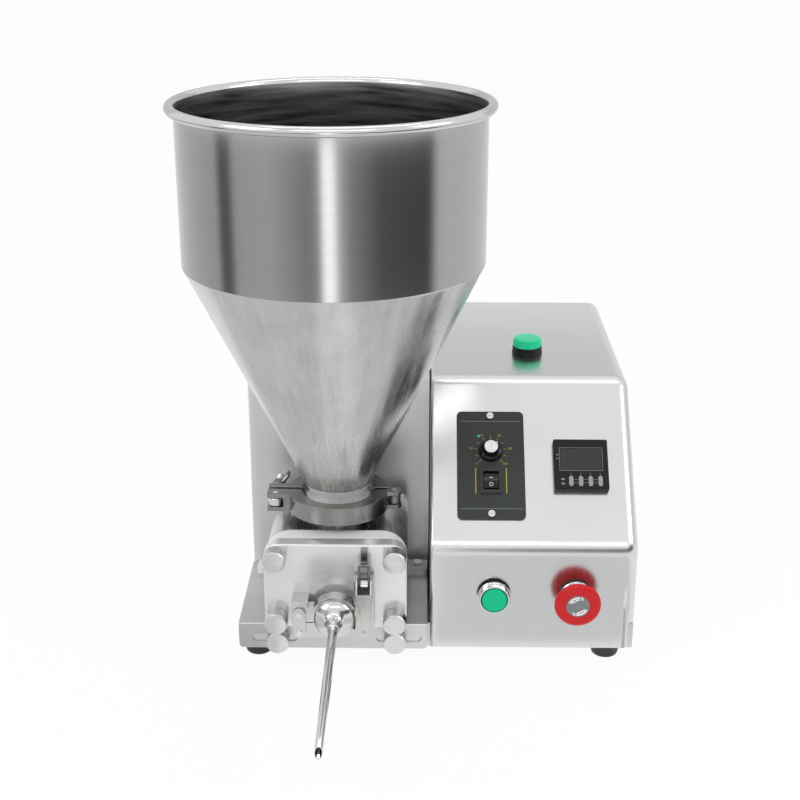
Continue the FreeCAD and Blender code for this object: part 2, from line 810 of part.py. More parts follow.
def hopper_cone():
    face = clamp_z + GASKET / 2
    neck_top = clamp_z + CLAMP_HEIGHT / 2 + NECK_ABOVE_CLAMP
    lean = (DRUM_R - NECK_R) / (SHOULDER_HEIGHT - neck_top)
    wall = HOPPER_WALL
    profile = ferrule_profile(face, neck_top, FERRULE_R, FERRULE_EDGE, FERRULE_ROOT, FERRULE_BORE_R, NECK_R)
    bore_top = neck_top + (FERRULE_BORE_R - (NECK_R - wall)) / lean
    profile += [(DRUM_R, SHOULDER_HEIGHT), (DRUM_R - wall, SHOULDER_HEIGHT), (FERRULE_BORE_R, bore_top)]
    return turned(profile, Vector(pump_x, HOPPER_Y, 0), up)


def clamp_band():
    """Full clamp ring with its V groove, around the hopper's axis."""
    half = CLAMP_HEIGHT / 2
    groove_r = FERRULE_R + CLAMP_FIT
    edge = GASKET / 2 + FERRULE_EDGE + CLAMP_FIT
    root = GASKET / 2 + FERRULE_ROOT + CLAMP_FIT
    profile = [
        (CLAMP_LIP_R + CLAMP_CHAMFER, -half),
        (CLAMP_R, -half),
        (CLAMP_R, half),
        (CLAMP_LIP_R + CLAMP_CHAMFER, half),
        (CLAMP_LIP_R, half - CLAMP_CHAMFER_DEPTH),
        (CLAMP_LIP_R, root),
        (groove_r, edge),
        (groove_r, -edge),
        (CLAMP_LIP_R, -root),
        (CLAMP_LIP_R, CLAMP_CHAMFER_DEPTH - half),
    ]
    return turned(profile, Vector(pump_x, HOPPER_Y, clamp_z), up)


def clamp_slab(x0, x1, y0, y1, half):
    return box(pump_x + x0, pump_x + x1, HOPPER_Y + y0, HOPPER_Y + y1, clamp_z - half, clamp_z + half)


def clamp_core():
    """Room inside the ring that the lugs must leave free."""
    return rod_z(CLAMP_R - CLAMP_OVERLAP, pump_x, HOPPER_Y, clamp_z - CLAMP_HEIGHT, clamp_z + CLAMP_HEIGHT)


def pin_column(dx, dy, radius, half):
    x, y = pump_x + dx, HOPPER_Y + dy
    return rod_z(radius, x, y, clamp_z - half, clamp_z + half)


def hopper_clamp_front():
    half = CLAMP_HEIGHT / 2
    split = CLAMP_SPLIT / 2
    ring = clamp_band().common(clamp_slab(-CLAMP_R, CLAMP_R, -CLAMP_R, -split, half))
    lug = clamp_slab(-LUG_REACH, -CLAMP_R / 2, -LUG_FRONT, -split, half).cut(clamp_core())
    hinge = clamp_slab(CLAMP_R / 2, HINGE_PIN_DX, -HINGE_PIN_DY - HINGE_EAR_R, -split, half).cut(clamp_core())
    knuckle = pin_column(HINGE_PIN_DX, -HINGE_PIN_DY, HINGE_EAR_R, half)
    clamp = join(ring, lug, hinge, knuckle)
    slot_end = BOLT_EYE_R + BOLT_EYE_ROOM
    hinge_slot = HINGE_PIN_DX - HINGE_EAR_R - HINGE_ROOM
    slots = [
        pin_column(-BOLT_PIN_DX, -BOLT_PIN_DY, slot_end, LUG_SLOT_HALF),
        clamp_slab(-LUG_REACH, -BOLT_PIN_DX, -LUG_FRONT, 0, LUG_SLOT_HALF),
        clamp_slab(-BOLT_PIN_DX, slot_end - BOLT_PIN_DX, -BOLT_PIN_DY, 0, LUG_SLOT_HALF),
        clamp_slab(-BOLT_PIN_DX, slot_end - BOLT_PIN_DX, -LUG_FRONT, 0, LUG_SLOT_HALF),
        clamp_slab(hinge_slot, LUG_REACH, -LUG_FRONT, LUG_FRONT, LUG_SLOT_HALF),
        pin_column(-BOLT_PIN_DX, -BOLT_PIN_DY, CLAMP_PIN_R, half),
        pin_column(HINGE_PIN_DX, -HINGE_PIN_DY, CLAMP_PIN_R, half),
    ]
    return clamp.cut(slots)


def hopper_clamp_rear():
    half = CLAMP_HEIGHT / 2
    split = CLAMP_SPLIT / 2
    ring = clamp_band().common(clamp_slab(-CLAMP_R, CLAMP_R, split, CLAMP_R, half))
    lug = clamp_slab(-LUG_REACH, -CLAMP_R / 2, split, split + REAR_LUG, half).cut(clamp_core())
    slot = clamp_slab(-LUG_REACH, BOLT_R + CLAMP_FIT - BOLT_PIN_DX, 0, LUG_FRONT, LUG_SLOT_HALF)
    tongue_r = HINGE_EAR_R - HINGE_ROOM
    arm = clamp_slab(CLAMP_R / 2, HINGE_PIN_DX + tongue_r, split, split + REAR_LUG, BOLT_EYE_HALF)
    arm = arm.cut(clamp_core())
    tongue = pin_column(HINGE_PIN_DX, -HINGE_PIN_DY, tongue_r, BOLT_EYE_HALF)
    clamp = join(ring, lug.cut(slot), arm, tongue)
    return clamp.cut(pin_column(HINGE_PIN_DX, -HINGE_PIN_DY, CLAMP_PIN_R, half))


def clamp_swing_bolt():
    eye = pin_column(-BOLT_PIN_DX, -BOLT_PIN_DY, BOLT_EYE_R, BOLT_EYE_HALF)
    x, y = pump_x - BOLT_PIN_DX, HOPPER_Y - BOLT_PIN_DY
    shank = rod_y(BOLT_R, x, clamp_z, y, y + BOLT_LENGTH)
    bolt = join(eye, shank)
    return bolt.cut(pin_column(-BOLT_PIN_DX, -BOLT_PIN_DY, CLAMP_PIN_R + RUN_FIT, CLAMP_HEIGHT))


def clamp_wing_nut():
    x = pump_x - BOLT_PIN_DX
    front = HOPPER_Y + CLAMP_SPLIT / 2 + REAR_LUG + NUT_GAP
    base = Vector(x, front, clamp_z)
    hub_profile = [
        (0, 0),
        (BOLT_R + WING_NOSE, 0),
        (WING_HUB_R, WING_TAPER),
        (WING_HUB_R, WING_HUB),
        (0, WING_HUB),
    ]
    hub = turned(hub_profile, base, back)
    root, low = front + WING_ROOT, clamp_z - WING_THICK / 2
    wings = []
    for side in (-1, 1):
        corners = [
            Vector(x, root, low),
            Vector(x + side * WING_REACH, root + WING_SWEEP / 2, low),
            Vector(x + side * WING_REACH, front + WING_HUB + WING_SWEEP, low),
            Vector(x, front + WING_HUB, low),
        ]
        wings.append(prism(corners, [0, WING_THICK, WING_THICK, 0], up * WING_THICK))
    nut = join(hub, *wings)
    nut.rotate(base, back, -WING_TURN)
    return nut.cut(rod_y(BOLT_R + RUN_FIT, x, clamp_z, front, front + WING_HUB + WING_SWEEP))


def clamp_gaskets():
    """The ring between the hopper's ferrules and the one behind the nozzle."""
    low, high = clamp_z - GASKET / 2, clamp_z + GASKET / 2
    hopper = rod_z(FERRULE_R, pump_x, HOPPER_Y, low, high)
    hopper = hopper.cut(rod_z(FERRULE_BORE_R, pump_x, HOPPER_Y, low, high))
    front, rear = NOZZLE_GASKET_Y - NOZZLE_GASKET / 2, NOZZLE_GASKET_Y + NOZZLE_GASKET / 2
    nozzle = rod_y(NOZZLE_FLANGE_R, pump_x, outlet_z, front, rear)
    nozzle = nozzle.cut(rod_y(OUTLET_R, pump_x, outlet_z, front, rear))
    return Part.makeCompound([hopper, nozzle])


# Pump


def stud_places():
    xs = (pump_x - STUD_SPACING_X / 2, pump_x + STUD_SPACING_X / 2)
    zs = (pump_z - STUD_SPACING_Z / 2, pump_z + STUD_SPACING_Z / 2)
    return [(x, z) for x in xs for z in zs]


def stud_holes(y0, y1):
    return [rod_y(STUD_R, x, z, y0, y1) for x, z in stud_places()]


def pump_plate(y0, y1, radius):
    return plate_y(pump_x, pump_z, PUMP_WIDTH, PUMP_HEIGHT, y0, y1, radius)


def seal_ring(y0, y1, inner):
    """Racetrack ring around both gear bores."""
    rings = []
    for reach in (inner + SEAL_WIDTH, inner):
        width, height = 2 * (pitch_r + reach), 2 * reach
        rings.append(plate_y(pump_x, pump_z, width, height, y0, y1, full_round(height)))
    return rings[0].cut(rings[1])


def pump_seals():
    """Face seal around the gears, ring around the outlet and lip seal on the shaft."""
    inner = chamber_r + SEAL_GROOVE_IN
    face = seal_ring(BODY_FRONT, BODY_FRONT + SEAL_DEPTH, inner)
    port = OUTLET_R + SEAL_GROOVE_IN
    y1 = WEAR_FRONT + SEAL_DEPTH
    outlet = rod_y(port + SEAL_WIDTH, pump_x, outlet_z, WEAR_FRONT, y1)
    outlet = outlet.cut(rod_y(port, pump_x, outlet_z, WEAR_FRONT, y1))
    return Part.makeCompound([face, outlet, shaft_seal()])


def pump_body():
    body = pump_plate(BODY_FRONT, BODY_BACK, BODY_CORNER_R)
    low = pump_top - (PUMP_HEIGHT / 2 - chamber_r) / 2
    face = clamp_z - GASKET / 2
    profile = ferrule_profile(face, low, FERRULE_R, FERRULE_EDGE, FERRULE_ROOT, FERRULE_BORE_R, NECK_R)
    profile.append((FERRULE_BORE_R, low))
    body = join(body, turned(profile, Vector(pump_x, HOPPER_Y, 0), up))
    cuts = [rod_y(chamber_r, x, pump_z, BODY_FRONT, chamber_end) for x in (drive_x, idler_x)]
    cuts.append(rod_z(INLET_BORE_R, pump_x, HOPPER_Y, pump_z, pump_top))
    cuts.append(rod_z(FERRULE_BORE_R, pump_x, HOPPER_Y, low, face))
    cuts.append(rod_y(OUTLET_R, pump_x, outlet_z, BODY_FRONT, chamber_end))
    for x in (drive_x, idler_x):
        cuts.append(rod_y(BUSH_R, x, pump_z, chamber_end, chamber_end + BUSH_LENGTH))
    cuts.append(rod_y(SHAFT_R + SHAFT_ROOM, drive_x, pump_z, chamber_end, BODY_BACK))
    cuts.append(rod_y(SEAL_R, drive_x, pump_z, BODY_BACK - SEAL_LENGTH, BODY_BACK))
    inner = chamber_r + SEAL_GROOVE_IN
    cuts.append(seal_ring(BODY_FRONT, BODY_FRONT + SEAL_DEPTH, inner))
    return body.cut(cuts + stud_holes(BODY_FRONT, BODY_BACK))


def pump_wear_plate():
    plate = pump_plate(WEAR_FRONT, BODY_FRONT, BODY_CORNER_R)
    cuts = [rod_y(OUTLET_R, pump_x, outlet_z, WEAR_FRONT, BODY_FRONT)]
    cuts += [rod_y(BUSH_R, x, pump_z, BODY_FRONT - BUSH_LENGTH, BODY_FRONT) for x in (drive_x, idler_x)]
    groove = OUTLET_R + SEAL_GROOVE_IN + SEAL_WIDTH
    ring = rod_y(groove, pump_x, outlet_z, WEAR_FRONT, WEAR_FRONT + SEAL_DEPTH)
    cuts.append(ring.cut(rod_y(groove - SEAL_WIDTH, pump_x, outlet_z, WEAR_FRONT, WEAR_FRONT + SEAL_DEPTH)))
    return plate.cut(cuts + stud_holes(WEAR_FRONT, BODY_FRONT))


def pump_front_cover():
    cover = pump_plate(COVER_FRONT, WEAR_FRONT, COVER_CORNER_R)
    rim = edges_where(cover, lambda p: near(p.y, COVER_FRONT))
    cover = cover.makeChamfer(COVER_CHAMFER, rim)
    face = NOZZLE_GASKET_Y + NOZZLE_GASKET / 2
    sunk = (WEAR_FRONT + COVER_FRONT) / 2
    edge = NOZZLE_FLANGE * FERRULE_EDGE / FERRULE_ROOT
    profile = ferrule_profile(-face, -sunk, NOZZLE_FLANGE_R, edge, NOZZLE_FLANGE, OUTLET_R, NOZZLE_NECK_R)
    profile.append((OUTLET_R, -sunk))
    cover = join(cover, turned(profile, Vector(pump_x, 0, outlet_z), -back))
    outlet = rod_y(OUTLET_R, pump_x, outlet_z, face, WEAR_FRONT)
    return cover.cut([outlet] + stud_holes(COVER_FRONT, WEAR_FRONT))


def pump_studs():
    """Long hexagon bolts through bracket, body, wear plate and cover."""
    rear = BODY_BACK + BRACKET_PLATE
    tip = COVER_FRONT - FACE_GAP - THUMB_BORE + STUD_END_GAP
    studs = []
    for x, z in stud_places():
        head = hexagon(STUD_HEAD_R, STUD_HEAD, Vector(x, rear, z), back)
        studs.append(join(rod_y(STUD_R, x, z, tip, rear), head))
    return Part.makeCompound(studs)


def thumb_nut(x, z):
    """Turned round nut with chamfered rims and a blind threaded bore."""
    length, chamfer = THUMB_LENGTH - FACE_GAP, THUMB_CHAMFER
    profile = [
        (0, length),
        (0, THUMB_BORE),
        (STUD_R + RUN_FIT, THUMB_BORE),
        (STUD_R + RUN_FIT, 0),
        (THUMB_R - chamfer, 0),
        (THUMB_R, chamfer),
        (THUMB_R, length - chamfer),
        (THUMB_R - chamfer, length),
    ]
    return turned(profile, Vector(x, COVER_FRONT - FACE_GAP, z), -back)


def shelf_knob(x):
    z = base_z + KNOB_HEIGHT
    chamfer = THUMB_CHAMFER
    profile = [
        (0, -KNOB_SHANK),
        (KNOB_SHANK_R, -KNOB_SHANK),
        (KNOB_SHANK_R, 0),
        (KNOB_R - chamfer, 0),
        (KNOB_R, chamfer),
        (KNOB_R, KNOB_LENGTH - chamfer),
        (KNOB_R - chamfer, KNOB_LENGTH),
        (0, KNOB_LENGTH),
    ]
    return turned(profile, Vector(x, -FACE_GAP, z), -back)


def bracket_bolt_places():
    y = BODY_BACK + BRACKET_FOOT_DEPTH / 2
    return [(pump_x - BRACKET_SPREAD / 2, y), (pump_x + BRACKET_SPREAD / 2, y)]


def pump_bracket():
    """Angle behind the pump, with ears bolted to the shelf."""
    plate = pump_plate(BODY_BACK, BODY_BACK + BRACKET_PLATE, BRACKET_PLATE)
    half = PUMP_WIDTH / 2 - BRACKET_PLATE
    skirt = box(pump_x - half, pump_x + half, BODY_BACK, BODY_BACK + BRACKET_PLATE, shelf_top, pump_z)
    width = BRACKET_SPREAD + 2 * BRACKET_EAR
    foot = plate_z(
        pump_x,
        BODY_BACK + BRACKET_FOOT_DEPTH / 2,
        width,
        BRACKET_FOOT_DEPTH,
        shelf_top,
        shelf_top + BRACKET_FOOT,
        BRACKET_EAR / 2,
    )
    foot = foot.cut(box(pump_x - half, pump_x + half, 0, BODY_BACK, shelf_top, shelf_top + BRACKET_FOOT))
    cuts = stud_holes(BODY_BACK, BODY_BACK + BRACKET_PLATE)
    rear, room = BODY_BACK + BRACKET_PLATE, STUD_HEAD_ROOM
    cuts += [rod_y(STUD_HEAD_R + room, x, z, rear, rear + STUD_HEAD + room) for x, z in stud_places()]
    cuts.append(rod_y(SEAL_R, drive_x, pump_z, BODY_BACK, BODY_BACK + BRACKET_PLATE))
    cuts += [rod_z(BRACKET_BOLT_R, x, y, shelf_top, shelf_top + BRACKET_FOOT) for x, y in bracket_bolt_places()]
    return join(plate, skirt, foot).cut(cuts)


# Gears, shafts, bushes and the motor


def involute(base_r, radius):
    """Polar angle of the involute of a base circle, where it reaches a radius."""
    roll = math.sqrt((radius / base_r) ** 2 - 1)
    return roll - math.atan(roll)


def gear_wire(y):
    """Closed outline of a spur gear, with a tooth on the X axis."""
    base_r = pitch_r * math.cos(math.radians(PRESSURE_ANGLE))
    root_r = pitch_r - GEAR_DEDENDUM
    half_pitch = (math.pi * GEAR_MODULE - GEAR_BACKLASH) / 4 / pitch_r
    half_base = half_pitch + involute(base_r, pitch_r)
    mid_r = (base_r + gear_r) / 2

    def at(radius, angle):
        return Vector(radius * math.cos(angle), y, radius * math.sin(angle))

    edges = []
    step = 2 * math.pi / GEAR_TEETH
    for i in range(GEAR_TEETH):
        centre = i * step
        tip = half_base - involute(base_r, gear_r)
        mid = half_base - involute(base_r, mid_r)
        edges.append(Part.makeLine(at(root_r, centre - half_base), at(base_r, centre - half_base)))
        flank = (at(base_r, centre - half_base), at(mid_r, centre - mid), at(gear_r, centre - tip))
        edges.append(Part.Arc(*flank).toShape())
        edges.append(Part.Arc(at(gear_r, centre - tip), at(gear_r, centre), at(gear_r, centre + tip)).toShape())
        flank = (at(gear_r, centre + tip), at(mid_r, centre + mid), at(base_r, centre + half_base))
        edges.append(Part.Arc(*flank).toShape())
        edges.append(Part.makeLine(at(base_r, centre + half_base), at(root_r, centre + half_base)))
        valley = (centre + half_base, centre + step / 2, centre + step - half_base)
        edges.append(Part.Arc(*(at(root_r, angle) for angle in valley)).toShape())
    return Part.Wire(edges)


def gear(x, turn):
    y0 = BODY_FRONT + GEAR_CLEAR
    blank = Part.Face(gear_wire(y0)).extrude(back * GEAR_LENGTH)
    blank.rotate(Vector(), back, turn)
    blank.translate(Vector(x, 0, pump_z))
    return blank


def drive_gear():
    y0 = BODY_FRONT + GEAR_CLEAR
    return gear(drive_x, 0).cut(rod_y(SHAFT_R, drive_x, pump_z, y0, y0 + GEAR_LENGTH))


def idler_gear():
    """Idler with its journals in one piece, turned half a tooth so that the pair meshes."""
    teeth = gear(idler_x, 180 + 180 / GEAR_TEETH)
    start = BODY_FRONT - BUSH_LENGTH + GEAR_CLEAR
    journals = rod_y(SHAFT_R, idler_x, pump_z, start, chamber_end + BUSH_LENGTH - GEAR_CLEAR)
    return join(teeth, journals)


def drive_shaft():
    start = BODY_FRONT - BUSH_LENGTH + GEAR_CLEAR
    end = HUB_START + TANG_LENGTH
    shaft = rod_y(SHAFT_R, drive_x, pump_z, start, end)
    half = TANG_WIDTH / 2
    left = box(drive_x - SHAFT_R, drive_x - half, HUB_START, end, pump_z - SHAFT_R, pump_z + SHAFT_R)
    edge = box(drive_x + half, drive_x + SHAFT_R, HUB_START, end, pump_z - SHAFT_R, pump_z + SHAFT_R)
    return shaft.cut([left, edge])


def output_hub():
    """Slotted hub that takes the shaft's tang, with the gearbox's output shaft behind it."""
    start = HUB_START + TANG_FIT
    hub = rod_y(HUB_R, drive_x, pump_z, start, hub_end)
    tail = rod_y(OUTPUT_R, drive_x, pump_z, hub_end, gearbox_front + OUTPUT_LENGTH)
    half = TANG_WIDTH / 2 + TANG_FIT
    slot_end = HUB_START + TANG_LENGTH + TANG_FIT
    slot = box(drive_x - half, drive_x + half, start, slot_end, pump_z - HUB_R, pump_z + HUB_R)
    return join(hub, tail).cut(slot)


def shaft_bushes():
    bushes = []
    for x in (drive_x, idler_x):
        for y0 in (BODY_FRONT - BUSH_LENGTH, chamber_end):
            y1 = y0 + BUSH_LENGTH
            bushes.append(rod_y(BUSH_R, x, pump_z, y0, y1).cut(rod_y(SHAFT_R + RUN_FIT, x, pump_z, y0, y1)))
    return Part.makeCompound(bushes)


def shaft_seal():
    y0 = BODY_BACK - SEAL_LENGTH
    ring = rod_y(SEAL_R, drive_x, pump_z, y0, BODY_BACK)
    return ring.cut(rod_y(SHAFT_R + RUN_FIT, drive_x, pump_z, y0, BODY_BACK))


def gearbox():
    end = gearbox_front + GEARBOX_LENGTH
    case = plate_y(gearbox_x, pump_z, GEARBOX_SIZE, GEARBOX_SIZE, gearbox_front, end, GEARBOX_CORNER_R)
    bore_end = gearbox_front + OUTPUT_LENGTH + SHAFT_ROOM
    return case.cut(rod_y(OUTPUT_R + RUN_FIT, drive_x, pump_z, gearbox_front, bore_end))


def gear_motor():
    start = gearbox_front + GEARBOX_LENGTH
    body = rod_y(MOTOR_R, gearbox_x, pump_z, start, start + MOTOR_LENGTH)
    rim = edges_where(body, lambda p: near(p.y, start + MOTOR_LENGTH))
    return body.makeFillet(GEARBOX_CORNER_R, rim)


def motor_bracket():
    half = GEARBOX_SIZE / 2 + MOTOR_PLATE_MARGIN
    x0, x1 = gearbox_x - half, gearbox_x + half
    y1 = gearbox_front
    y0 = y1 - MOTOR_PLATE
    plate = box(x0, x1, y0, y1, tray_floor, pump_z + half)
    foot = box(x0, x1, y0, y1 + MOTOR_FOOT_DEPTH, tray_floor, tray_floor + MOTOR_PLATE)
    return join(plate, foot).cut(rod_y(OUTPUT_R + SHAFT_ROOM, drive_x, pump_z, y0, y1))


# Nozzle, its clamp and the toggle latch


def nozzle():
    """Domed flange with the long tube welded in."""
    flange_back = NOZZLE_GASKET_Y - NOZZLE_GASKET / 2
    flange_front = flange_back - NOZZLE_FLANGE
    skirt_front = NOZZLE_RING_FRONT - NOZZLE_SKIRT
    bore = TUBE_R - TUBE_WALL
    profile = [
        (OUTLET_R, -flange_back),
        (NOZZLE_FLANGE_R, -flange_back),
        (NOZZLE_FLANGE_R, -flange_front),
        (NOZZLE_NECK_R, -flange_front),
        (NOZZLE_NECK_R, -NOZZLE_RING_FRONT),
        (NOZZLE_SKIRT_R, -NOZZLE_RING_FRONT),
        (NOZZLE_SKIRT_R, -skirt_front),
        (NOZZLE_SHOULDER_R, -NOZZLE_SHOULDER_Y),
        (NOZZLE_DOME_R, -NOZZLE_DOME_Y),
        (NOZZLE_WAIST_R, -NOZZLE_WAIST_Y),
        (TUBE_R + NOZZLE_WALL, -NOZZLE_ROOT_Y),
        (TUBE_R, -NOZZLE_ROOT_Y),
        (TUBE_R, -NOZZLE_ROOT_Y - TUBE_JOINT),
        (NOZZLE_BORE_R, -NOZZLE_DOME_Y),
        (OUTLET_R, -skirt_front),
    ]
    cone = turned(profile, Vector(pump_x, 0, outlet_z), -back)
    start = -NOZZLE_ROOT_Y - TUBE_JOINT
    tip = -TUBE_TIP_Y
    tube_profile = [
        (bore, start),
        (TUBE_R, start),
        (TUBE_R, -NOZZLE_ROOT_Y),
        (TUBE_TIP_R, tip),
        (TUBE_TIP_R - TUBE_WALL, tip),
        (bore, -NOZZLE_ROOT_Y),
    ]
    tube = turned(tube_profile, Vector(pump_x, 0, outlet_z), -back)
    x0, x1 = pump_x - TUBE_R - OVERCUT, pump_x + TUBE_R + OVERCUT
    low, high = outlet_z - TUBE_TIP_R, outlet_z + TUBE_TIP_R
    slant = [
        Vector(x0, TUBE_TIP_Y, low),
        Vector(x0, TUBE_TIP_Y + TUBE_BEVEL, high),
        Vector(x0, TUBE_TIP_Y + TUBE_BEVEL, high + OVERCUT),
        Vector(x0, TUBE_TIP_Y - OVERCUT, high + OVERCUT),
        Vector(x0, TUBE_TIP_Y - OVERCUT, low),
    ]
    return join(cone, tube.cut(prism(slant, 0, right * (x1 - x0))))


def nozzle_band():
    """Full ring of the nozzle clamp with its groove, open at the right where the latch stands."""
    groove = NOZZLE_FLANGE_R + CLAMP_FIT
    lip = NOZZLE_NECK_R + CLAMP_FIT
    back_lip = NOZZLE_GASKET_Y + NOZZLE_GASKET / 2 + NOZZLE_FLANGE + CLAMP_FIT
    front_lip = NOZZLE_GASKET_Y - NOZZLE_GASKET / 2 - NOZZLE_FLANGE - CLAMP_FIT
    front = NOZZLE_RING_FRONT + CLAMP_FIT
    profile = [
        (lip, -NOZZLE_RING_BACK),
        (NOZZLE_RING_R, -NOZZLE_RING_BACK),
        (NOZZLE_RING_R, -front),
        (lip, -front),
        (lip, -front_lip),
        (groove, -front_lip),
        (groove, -back_lip),
        (lip, -back_lip),
    ]
    ring = turned(profile, Vector(pump_x, 0, outlet_z), -back)
    reach = 2 * NOZZLE_RING_R
    spread = reach * math.tan(math.radians(RING_OPENING))
    start = NOZZLE_RING_FRONT - OVERCUT
    wedge = [
        Vector(pump_x, start, outlet_z),
        Vector(pump_x + reach, start, outlet_z - spread),
        Vector(pump_x + reach, start, outlet_z + spread),
    ]
    return ring.cut(prism(wedge, 0, back * (NOZZLE_RING_BACK + OVERCUT - start)))


def nozzle_slab(x0, x1, z0, z1):
    return box(x0, x1, NOZZLE_RING_FRONT + CLAMP_FIT, NOZZLE_RING_BACK, z0, z1)


def nozzle_core():
    return rod_y(NOZZLE_RING_R - RING_OVERLAP, pump_x, outlet_z, NOZZLE_RING_FRONT, COVER_FRONT)


def link_pin_rods(radius, y0, y1):
    return [rod_y(radius, link_x, z, y0, y1) for z in (link_low_z, link_top_z)]


def nozzle_clamp_upper():
    reach = NOZZLE_RING_R
    low = link_mid_z + LINK_GAP
    ring = nozzle_band().common(nozzle_slab(pump_x - reach, pump_x + reach, low, outlet_z + reach))
    left, edge = link_x - LUG_LEFT, link_x + LUG_RIGHT
    lug = box(left, edge, NOZZLE_RING_FRONT + CLAMP_FIT, COVER_FRONT, low, outlet_z + LUG_TOP)
    web = nozzle_slab(link_x, pump_x - reach / 2, low, link_top_z + LINK_R).cut(nozzle_core())
    return join(ring, lug, web).cut(link_pin_rods(LINK_PIN_R, NOZZLE_RING_FRONT, COVER_FRONT))


def nozzle_clamp_lower():
    """Lower half ring with its left ear, and the arm and ears that carry the latch at its right."""
    reach = NOZZLE_RING_R
    top = link_mid_z - LINK_GAP
    ring = nozzle_band().common(nozzle_slab(pump_x - reach, pump_x + reach, outlet_z - reach, top))
    ear = nozzle_slab(link_x - LINK_R, link_x + LINK_R, link_low_z, top)
    boss = rod_y(LINK_R, link_x, link_low_z, NOZZLE_RING_FRONT + CLAMP_FIT, NOZZLE_RING_BACK)
    web = nozzle_slab(link_x, pump_x - reach / 2, link_low_z - LINK_R, top).cut(nozzle_core())
    half = LATCH_WIDTH / 2 + EAR_GAP + EAR_THICK
    arm_back = NOZZLE_RING_BACK + ARM_THICK
    low = LATCH_PIVOT_Z - LATCH_BELOW
    high = LATCH_PIVOT_Z + EAR_REACH
    arm = box(pump_x, latch_x + half, NOZZLE_RING_BACK, arm_back, low, top)
    arm = arm.cut(rod_y(NOZZLE_NECK_R + CLAMP_FIT, pump_x, outlet_z, NOZZLE_RING_BACK, arm_back))
    post = box(latch_x - half, latch_x + half, NOZZLE_RING_BACK + POST_GAP, arm_back, low, high)
    room = half - EAR_THICK
    swing = math.hypot(LATCH_FLANGE_BACK, LATCH_ABOVE) + EAR_GAP
    post = post.cut(rod_x(swing, LATCH_PIVOT_Y, LATCH_PIVOT_Z, latch_x - room, latch_x + room))
    ears = []
    for side in (-1, 1):
        x0, x1 = sorted((latch_x + side * half, latch_x + side * room))
        ears.append(box(x0, x1, LATCH_PIVOT_Y - EAR_REACH, arm_back, LATCH_PIVOT_Z - EAR_DROP, high))
    clamp = join(ring, ear, boss, web, arm, post, *ears)
    cuts = link_pin_rods(LINK_PIN_R, NOZZLE_RING_FRONT, NOZZLE_RING_BACK)
    cuts.append(rod_x(LATCH_PIN_R, LATCH_PIVOT_Y, LATCH_PIVOT_Z, latch_x - half, latch_x + half))
    return clamp.cut(cuts)


def nozzle_clamp_link():
    face = NOZZLE_RING_FRONT
    bars = [rod_y(LINK_R, link_x, z, face - LINK_THICK, face) for z in (link_low_z, link_top_z)]
    web = box(link_x - LINK_R, link_x + LINK_R, face - LINK_THICK, face, link_low_z, link_top_z)
    return join(web, *bars).cut(link_pin_rods(LINK_PIN_R, face - LINK_THICK, face))


def clamp_pins():
    """Hinge and swing-bolt pins of the hopper clamp, and the nozzle clamp's link and latch pins."""
    half = CLAMP_HEIGHT / 2
    pins = [pin_column(-BOLT_PIN_DX, -BOLT_PIN_DY, CLAMP_PIN_R, half)]
    pins.append(pin_column(HINGE_PIN_DX, -HINGE_PIN_DY, CLAMP_PIN_R, half))
    face = NOZZLE_RING_FRONT - LINK_THICK
    for z in (link_low_z, link_top_z):
        head = rod_y(LINK_PIN_HEAD_R, link_x, z, face - LINK_PIN_HEAD, face)
        pins.append(join(rod_y(LINK_PIN_R, link_x, z, face, NOZZLE_RING_BACK), head))
    outer = LATCH_WIDTH / 2 + EAR_GAP + EAR_THICK
    inner = LATCH_WIDTH / 2 - LATCH_SHEET
    for side in (-1, 1):
        ends = sorted((latch_x + side * inner, latch_x + side * outer))
        pins.append(rod_x(LATCH_PIN_R, LATCH_PIVOT_Y, LATCH_PIVOT_Z, *ends))
    return Part.makeCompound(pins)


def bail_pivot():
    """Where the bail hinges in the lever, just past the line of pull."""
    angle = math.radians(LATCH_OVER_CENTRE)
    y = LATCH_PIVOT_Y + LATCH_ARM * math.sin(angle)
    return y, LATCH_PIVOT_Z - LATCH_ARM * math.cos(angle)


